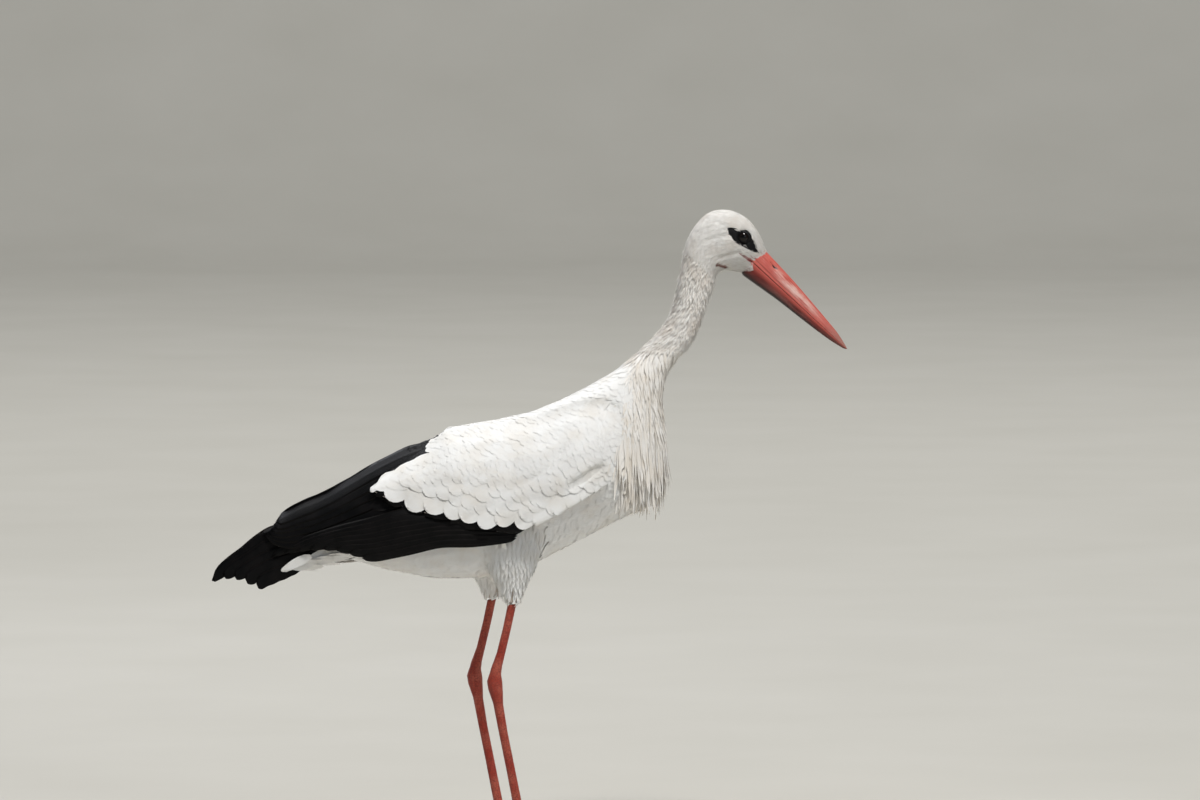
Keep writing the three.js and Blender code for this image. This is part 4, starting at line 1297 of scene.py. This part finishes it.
thighCoat = dict(vane="plume", spacing=4.6 * mm, density=1e5, spread=0.25, lift=0.8 * mm, loft=0.5 * mm,
                 camber=0.15, ruffle=1.2 * mm, clump=0.25, clumpScale=45.0, tintHigh=0.4, seed=14)
layFeathers("thighFeathers", thighCoat, owned("thigh"), form["lie"], sizes(8 * mm, 26 * mm))

# soft long feathers close on the breast
breastCoat = dict(vane="plume", spacing=5.0 * mm, density=1e5, jitter=0.05, root=5.0 * mm, lift=0.5 * mm,
                  loft=0.6 * mm, camber=0.12, ruffle=0.8 * mm, clump=0.30, clumpScale=34.0, tintHigh=0.5,
                  seed=15, finish="plume")
layFeathers("breastFeathers", breastCoat, owned("breast"), form["lie"], sizes(8.5 * mm, 58 * mm))

# the long plumes of the lower neck and breast hang past one another in locks, their tips free
plumeCoat = dict(vane="hackle", spacing=4.3 * mm, density=1.6e5, jitter=0.03, spread=0.3, root=1.2 * mm,
                 lift=0.2 * mm, loft=0.9 * mm, free=0.8, ruffle=0.6 * mm, clump=0.22, clumpScale=40.0,
                 tintHigh=0.8, seed=16, finish="plume")
onBreast = np.clip(owned("breast") + owned("neck") * (z < 0.605), 0, 1)
onBreast = onBreast * (x > 0.116) * (z > 0.462) * (z < 0.602)
# they thin out backwards over the mantle, and end at a slit lower down
overMantle = owned("trunk", "neck", "wing") * smoothStep(x, 0.094, 0.126)
overMantle = overMantle * smoothStep(z, 0.505, 0.53) * (z < 0.585)
grown = smoothStep(0.608 - z, 0, 0.055)
layFeathers("breastPlumes", plumeCoat, np.maximum(onBreast * (0.4 + 0.6 * grown), 0.6 * overMantle),
            unit(form["lie"] * 0.5 + np.array([-0.03, 0.0, -1.0]) * 0.5),
            sizes((2.4 + 3.0 * grown) * mm, (46 + 34 * smoothStep(z, 0.47, 0.58)) * mm, 0.45 + 0.55 * grown))

# the folded wings: white coverts in rows, then the long black quills, each laid over its CAD layer
covertCoat = dict(vane="covert", spread=0.16, root=2.4 * mm, camber=0.018, clump=0.25, clumpScale=38.0)
coverts = {
    "rowStart": 1.5 * mm,  # the last row's tips stand this far over the wing's low edge
    "rearStart": 6.5 * mm,  # and this much more behind the flank
    "rowEnd": 110 * mm,
    # for each row from the low edge up, the last repeated, in millimetres: step to the next, width, length;
    # and its relief
    "rows": [(20.0, 28.0, 62.0, 1.0), (15.0, 25.0, 50.0, 0.7), (11.0, 21.0, 40.0, 0.5),
             (9.0, 18.0, 34.0, 0.42), (8.5, 16.0, 30.0, 0.36)],
    "wander": 0.34,  # how far a tip strays from its row, in row steps
    "wrist": 0.66,  # size at the bend of the wing, against that of the middle
    "top": 0.36,  # the rows stop here, under the scapulars
    "front": 0.092,
}


def makeCoverts(side, seed):
    dice = np.random.default_rng(seed)
    tips, ways, spans = [], [], []
    distance, row = coverts["rowStart"], 0
    while distance < coverts["rowEnd"]:
        step, wide, long, relief = coverts["rows"][min(row, len(coverts["rows"]) - 1)]
        x = coverts["front"] - dice.uniform(0, 10) * mm
        while x > wingFace["x"][0] + 2 * mm:
            height = float(np.interp(x, wingFace["x"], wingFace["top"] - wingFace["low"]))
            small = coverts["wrist"] + (1 - coverts["wrist"]) * float(smoothStep(0.10 - x, 0.0, 0.11))
            stray = coverts["wander"] * step * mm * dice.normal() * (0.3 if row == 0 else 1.0)
            behind = coverts["rearStart"] * float(smoothStep(-x, 0.0, 0.035))
            v = 1 - ((distance + stray) * (0.55 + 0.45 * small) + behind) / height
            tall = float(np.interp(x, wingFace["x"], wingFace["top"])) - v * height
            if v > coverts["top"] and tall < np.interp(x, *quillLine.T) - 6 * mm:
                tips.append((x, v))
                ways.append((-1.0, 0.0, -0.30 - 0.55 * float(smoothStep(v, 0.15, 1.0))))
                spans.append((wide * small * mm, long * small * mm, relief))
            x -= wide * small * mm * (dice.uniform(0.70, 0.95) if row == 0 else dice.uniform(0.40, 0.75))
        distance += step * mm
        row += 1
    flip = np.array([1.0, -sides[side], 1.0])
    points, normals = (f(wingFace, *np.array(tips).T) * flip for f in (reliefPoint, reliefNormal))
    layFeathers("coverts_" + side, {**covertCoat, "seed": seed},
                rows={"points": points, "lie": onSurface(np.array(ways), normals), "upward": normals,
                      "size": np.array(spans), "near": owned("wing_" + side + "_coverts") > 0.5})


for seed, sideName in enumerate(sides, 31):
    makeCoverts(sideName, seed)

# the roots of the flight feathers, where they come out from under the coverts
quillCoat = dict(vane="contour", spacing=6.0 * mm, density=8e4, jitter=0.02, spread=0.1, lift=-2.2 * mm,
                 loft=0.1 * mm, camber=0.01, ruffle=0.1 * mm, tintHigh=0.2, seed=33, finish="black")
lowStrip = onWing * (z < wingLow + 13 * mm) * (x < -0.012)
layFeathers("quillRoots", quillCoat, np.maximum(blackZone, lowStrip),
            unit(form["heading"] + 0.3 * form["lie"]), sizes(14 * mm, 34 * mm))

# each layer of quills: how many, where the first and last start and end along the layer (0 at the back),
# the lane that each keeps (0 top, 1 low), half widths, how each tilts, and where its shaft lies
quills = {
    "tertials": dict(count=6, start=(1.02, 1.0), end=(0.07, 0.0), lane=(0.12, 0.90), drift=0.02, half=0.66,
                     tilt=0.7 * mm, shaft=0.0),
    "secondaries": dict(count=8, start=(0.97, 1.0), end=(0.36, 0.0), lane=(0.90, 0.12), drift=0.05, half=0.66,
                        tilt=0.65 * mm, shaft=0.12),
    "primaries": dict(count=5, start=(1.0, 1.0), end=(0.42, 0.0), lane=(0.88, 0.14), drift=0.0, half=0.60,
                      tilt=0.8 * mm, shaft=0.3),
}
quillRows = 34
quillColumns = np.array([-1.0, -0.72, -0.4, -0.12, 0.0, 0.12, 0.4, 0.72, 1.0])
quillThick = 0.45 * mm
quillLap = 1.25  # each is this much wider than its share of the layer
quillRidge, quillBow, quillSunk = 0.45 * mm, 0.5 * mm, 0.6 * mm  # shaft's height, sides' drop, root's drop


def quillEnds(t, start, growth):
    # parallel sides, a blunt quill at the root and a rounded tip
    return np.minimum(1, start + growth * t) * np.sqrt(1 - np.clip((t - 0.86) / 0.14, 0, 1) ** 2.4)


def quillSheets(layer, relief, dice):
    # the upper face of each quill of a layer, as a grid of points with normals
    low, high = relief["x"][0], relief["x"][-1]
    t = np.linspace(0, 1, quillRows)
    tall = relief["top"] - relief["low"]
    sheets = []
    for i in range(layer["count"]):
        share = i / (layer["count"] - 1)
        start, end, lane = (layer[key][0] + (layer[key][1] - layer[key][0]) * share
                            for key in ("start", "end", "lane"))
        x = low + (high - low) * (start + (end - start) * t)
        height = np.interp(x, relief["x"], tall)
        middle = np.interp(low + (high - low) * (start + end) / 2, relief["x"], tall)
        half = layer["half"] * middle / layer["count"] * dice.uniform(0.95, 1.08) * quillLap
        profile = quillEnds(t, 0.45, 2.2)
        wide = np.minimum(half, height * 0.5) * profile
        wide[[0, -1]] = 0.0
        c = quillColumns[None] + layer["shaft"] * (1 - quillColumns[None] ** 2)
        wander = 1 + 0.035 * np.sin(t * dice.uniform(20, 40) + dice.uniform(0, 6))[:, None] * np.abs(c) ** 3
        v = lane + layer["drift"] * t[:, None] + c * wander * (wide / np.maximum(height, 3 * mm))[:, None]
        xs = np.broadcast_to(x[:, None], v.shape)
        points, normals = (f(relief, xs.ravel(), v.ravel()).reshape(*v.shape, 3)
                           for f in (reliefPoint, reliefNormal))
        ridge = np.where(quillColumns == 0, quillRidge, 0.0)[None] * (1 - 0.8 * t)[:, None]
        lift = layer["tilt"] * c * np.sign(layer["lane"][1] - layer["lane"][0]) + ridge
        sunk = quillSunk * (1 - smoothStep(t, 0, 0.3))[:, None]
        lift = lift - quillBow * (c * profile[:, None]) ** 2 - sunk
        sheets.append((points + normals * lift[..., None], normals * (wide > 0)[:, None, None]))
    return sheets


def quillPiece(name, sheets, kind, replaced, flip=1.0):
    # closed vanes: an upper and a lower face, one strip of the bake map each
    t, ring = np.linspace(0, 1, quillRows), 2 * len(quillColumns) - 2
    across = 0.5 + 0.5 * np.concatenate([quillColumns, quillColumns[-2:0:-1]])
    grid = np.stack(np.broadcast_arrays(across[None], t[:, None]), axis=-1).reshape(-1, 2)
    points, spots, faces = [], [], []
    for index, (upper, normals) in enumerate(sheets):
        lower = upper - normals * quillThick
        loop = np.concatenate([upper, lower[:, -2:0:-1]], axis=1) * np.array([1.0, flip, 1.0])
        faces.append(gridFaces(quillRows, ring, wrap=True) + index * quillRows * ring)
        points.append(loop.reshape(-1, 3))
        spots.append(grid * [0.92 / len(sheets), 0.98] + [(index + 0.04) / len(sheets), 0.01])
    mesh = meshOf(name, np.concatenate(points), np.concatenate(faces))
    addMap(mesh, "Vane", np.concatenate([grid] * len(sheets)))
    addMap(mesh, "OFBake", np.concatenate(spots))
    tidyShell(mesh)
    finished(name, mesh, kind, replaced)


for index, layerName in enumerate(quills):
    relief = sideRelief("wing_right_" + layerName)
    for shift, sideName in enumerate(sides):
        sheets = quillSheets(quills[layerName], relief, np.random.default_rng(50 + 10 * index + shift))
        replaced = ["wing_" + sideName + "_" + layerName]
        quillPiece(layerName + "_" + sideName, sheets, "black", replaced, -sides[sideName])
print("stage: quills")

tail = {
    "count": 12,
    "rootX": -0.196,
    "root": 11 * mm,  # half the fan's width at its root and at its tip, then half a feather's
    "tip": 16.5 * mm,
    "half": 9.5 * mm,
    "arch": 4 * mm,
    "step": 0.30 * mm,  # from one feather down to the next
    "ridge": 0.4 * mm,
    "bow": 0.5 * mm,
    "drop": 9 * mm,  # how far the roots lie under the node's top, and the tips over its low side
    "rise": 4.5 * mm,
    "inset": 1.5 * mm,  # the middle tips stop short of the node's end, and the outer ones by more
    "rounded": 9 * mm,
}


def makeTail():
    low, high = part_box("tail")
    t = np.linspace(0, 1, quillRows)
    ridge = np.where(quillColumns == 0, tail["ridge"], 0.0)[None] * (1 - 0.8 * t)[:, None]
    fall = (high.z - tail["drop"] + (low.z + tail["rise"] - high.z + tail["drop"]) * t)[:, None]
    sheets = []
    for place in np.linspace(-1, 1, tail["count"]):
        end = low.x + tail["inset"] + tail["rounded"] * place ** 2
        x = tail["rootX"] + (end - tail["rootX"]) * t
        half = tail["half"] * quillEnds(t, 0.35, 1.1)
        half[[0, -1]] = 0.0
        middle = place * (tail["root"] + (tail["tip"] - tail["root"]) * t)
        y = middle[:, None] + half[:, None] * quillColumns[None]
        z = fall - tail["arch"] * (y / tail["tip"]) ** 2 * 0.5
        z = z - tail["step"] * abs(place) * (tail["count"] / 2)
        z = z - tail["bow"] * quillColumns[None] ** 2 + ridge
        points = np.stack(np.broadcast_arrays(x[:, None], y, z), axis=-1)
        normals = np.broadcast_to(np.array([0.0, 0.0, 1.0]), points.shape) * (half[:, None, None] > 0)
        sheets.append((points, normals))
    quillPiece("tailFeathers", sheets, "white", ["tail"])


undertail = {
    "coat": {**bodyCoat, "vane": "plume", "hug": 0.0, "root": 2.5 * mm, "seed": 84},
    "rows": 9,  # from near the tail's end forward to the vent
    "few": 7,  # feathers in the last row; each further row has one more
    "turn": 1.5,  # radians to each side of straight down
    "end": -0.304,
    "reach": 0.092,
    "line": (-0.305, 0.3530, 0.36),  # x, z and slope of the line that they hang round
    "wide": (25, 6),  # in millimetres, at the tail's end and how much more at the vent
    "deep": (3.5, 11),
    "feather": ((12, 5), (40, 8)),  # its width and length, in the same way
}


def makeUndertail():
    # long soft coverts under the tail, in rows
    dice = np.random.default_rng(83)
    points, ways, normals, spans = [], [], [], []
    for row in range(undertail["rows"]):
        share = row / (undertail["rows"] - 1)
        spreads = undertail["wide"], undertail["deep"], *undertail["feather"]
        wide, deep, featherWide, featherLong = ((start + more * share) * mm for start, more in spreads)
        many, turn = undertail["few"] + row, undertail["turn"]
        for angle in np.linspace(-turn, turn, many) + dice.uniform(-0.08, 0.08, many):
            x = undertail["end"] + undertail["reach"] * share + dice.normal(0, 3.0) * mm
            x -= 4 * mm * abs(math.sin(angle))
            middle = undertail["line"][1] + undertail["line"][2] * (x - undertail["line"][0])
            points.append((x, wide * math.sin(angle), middle - deep * math.cos(angle)))
            normals.append((0.0, math.sin(angle), -math.cos(angle)))
            ways.append((-1.0, 0.06 * dice.normal(), -undertail["line"][2]))
            spans.append((featherWide, featherLong, 1.0))
    normals = np.array(normals)
    layFeathers("undertailFeathers", undertail["coat"],
                rows={"points": np.array(points), "lie": onSurface(np.array(ways), normals),
                      "upward": normals, "size": np.array(spans), "near": owned("tail", "trunk") > 0.5})


makeTail()
makeUndertail()
print("stage: tail")

for thing in vanes.values():
    bpy.data.objects.remove(thing)
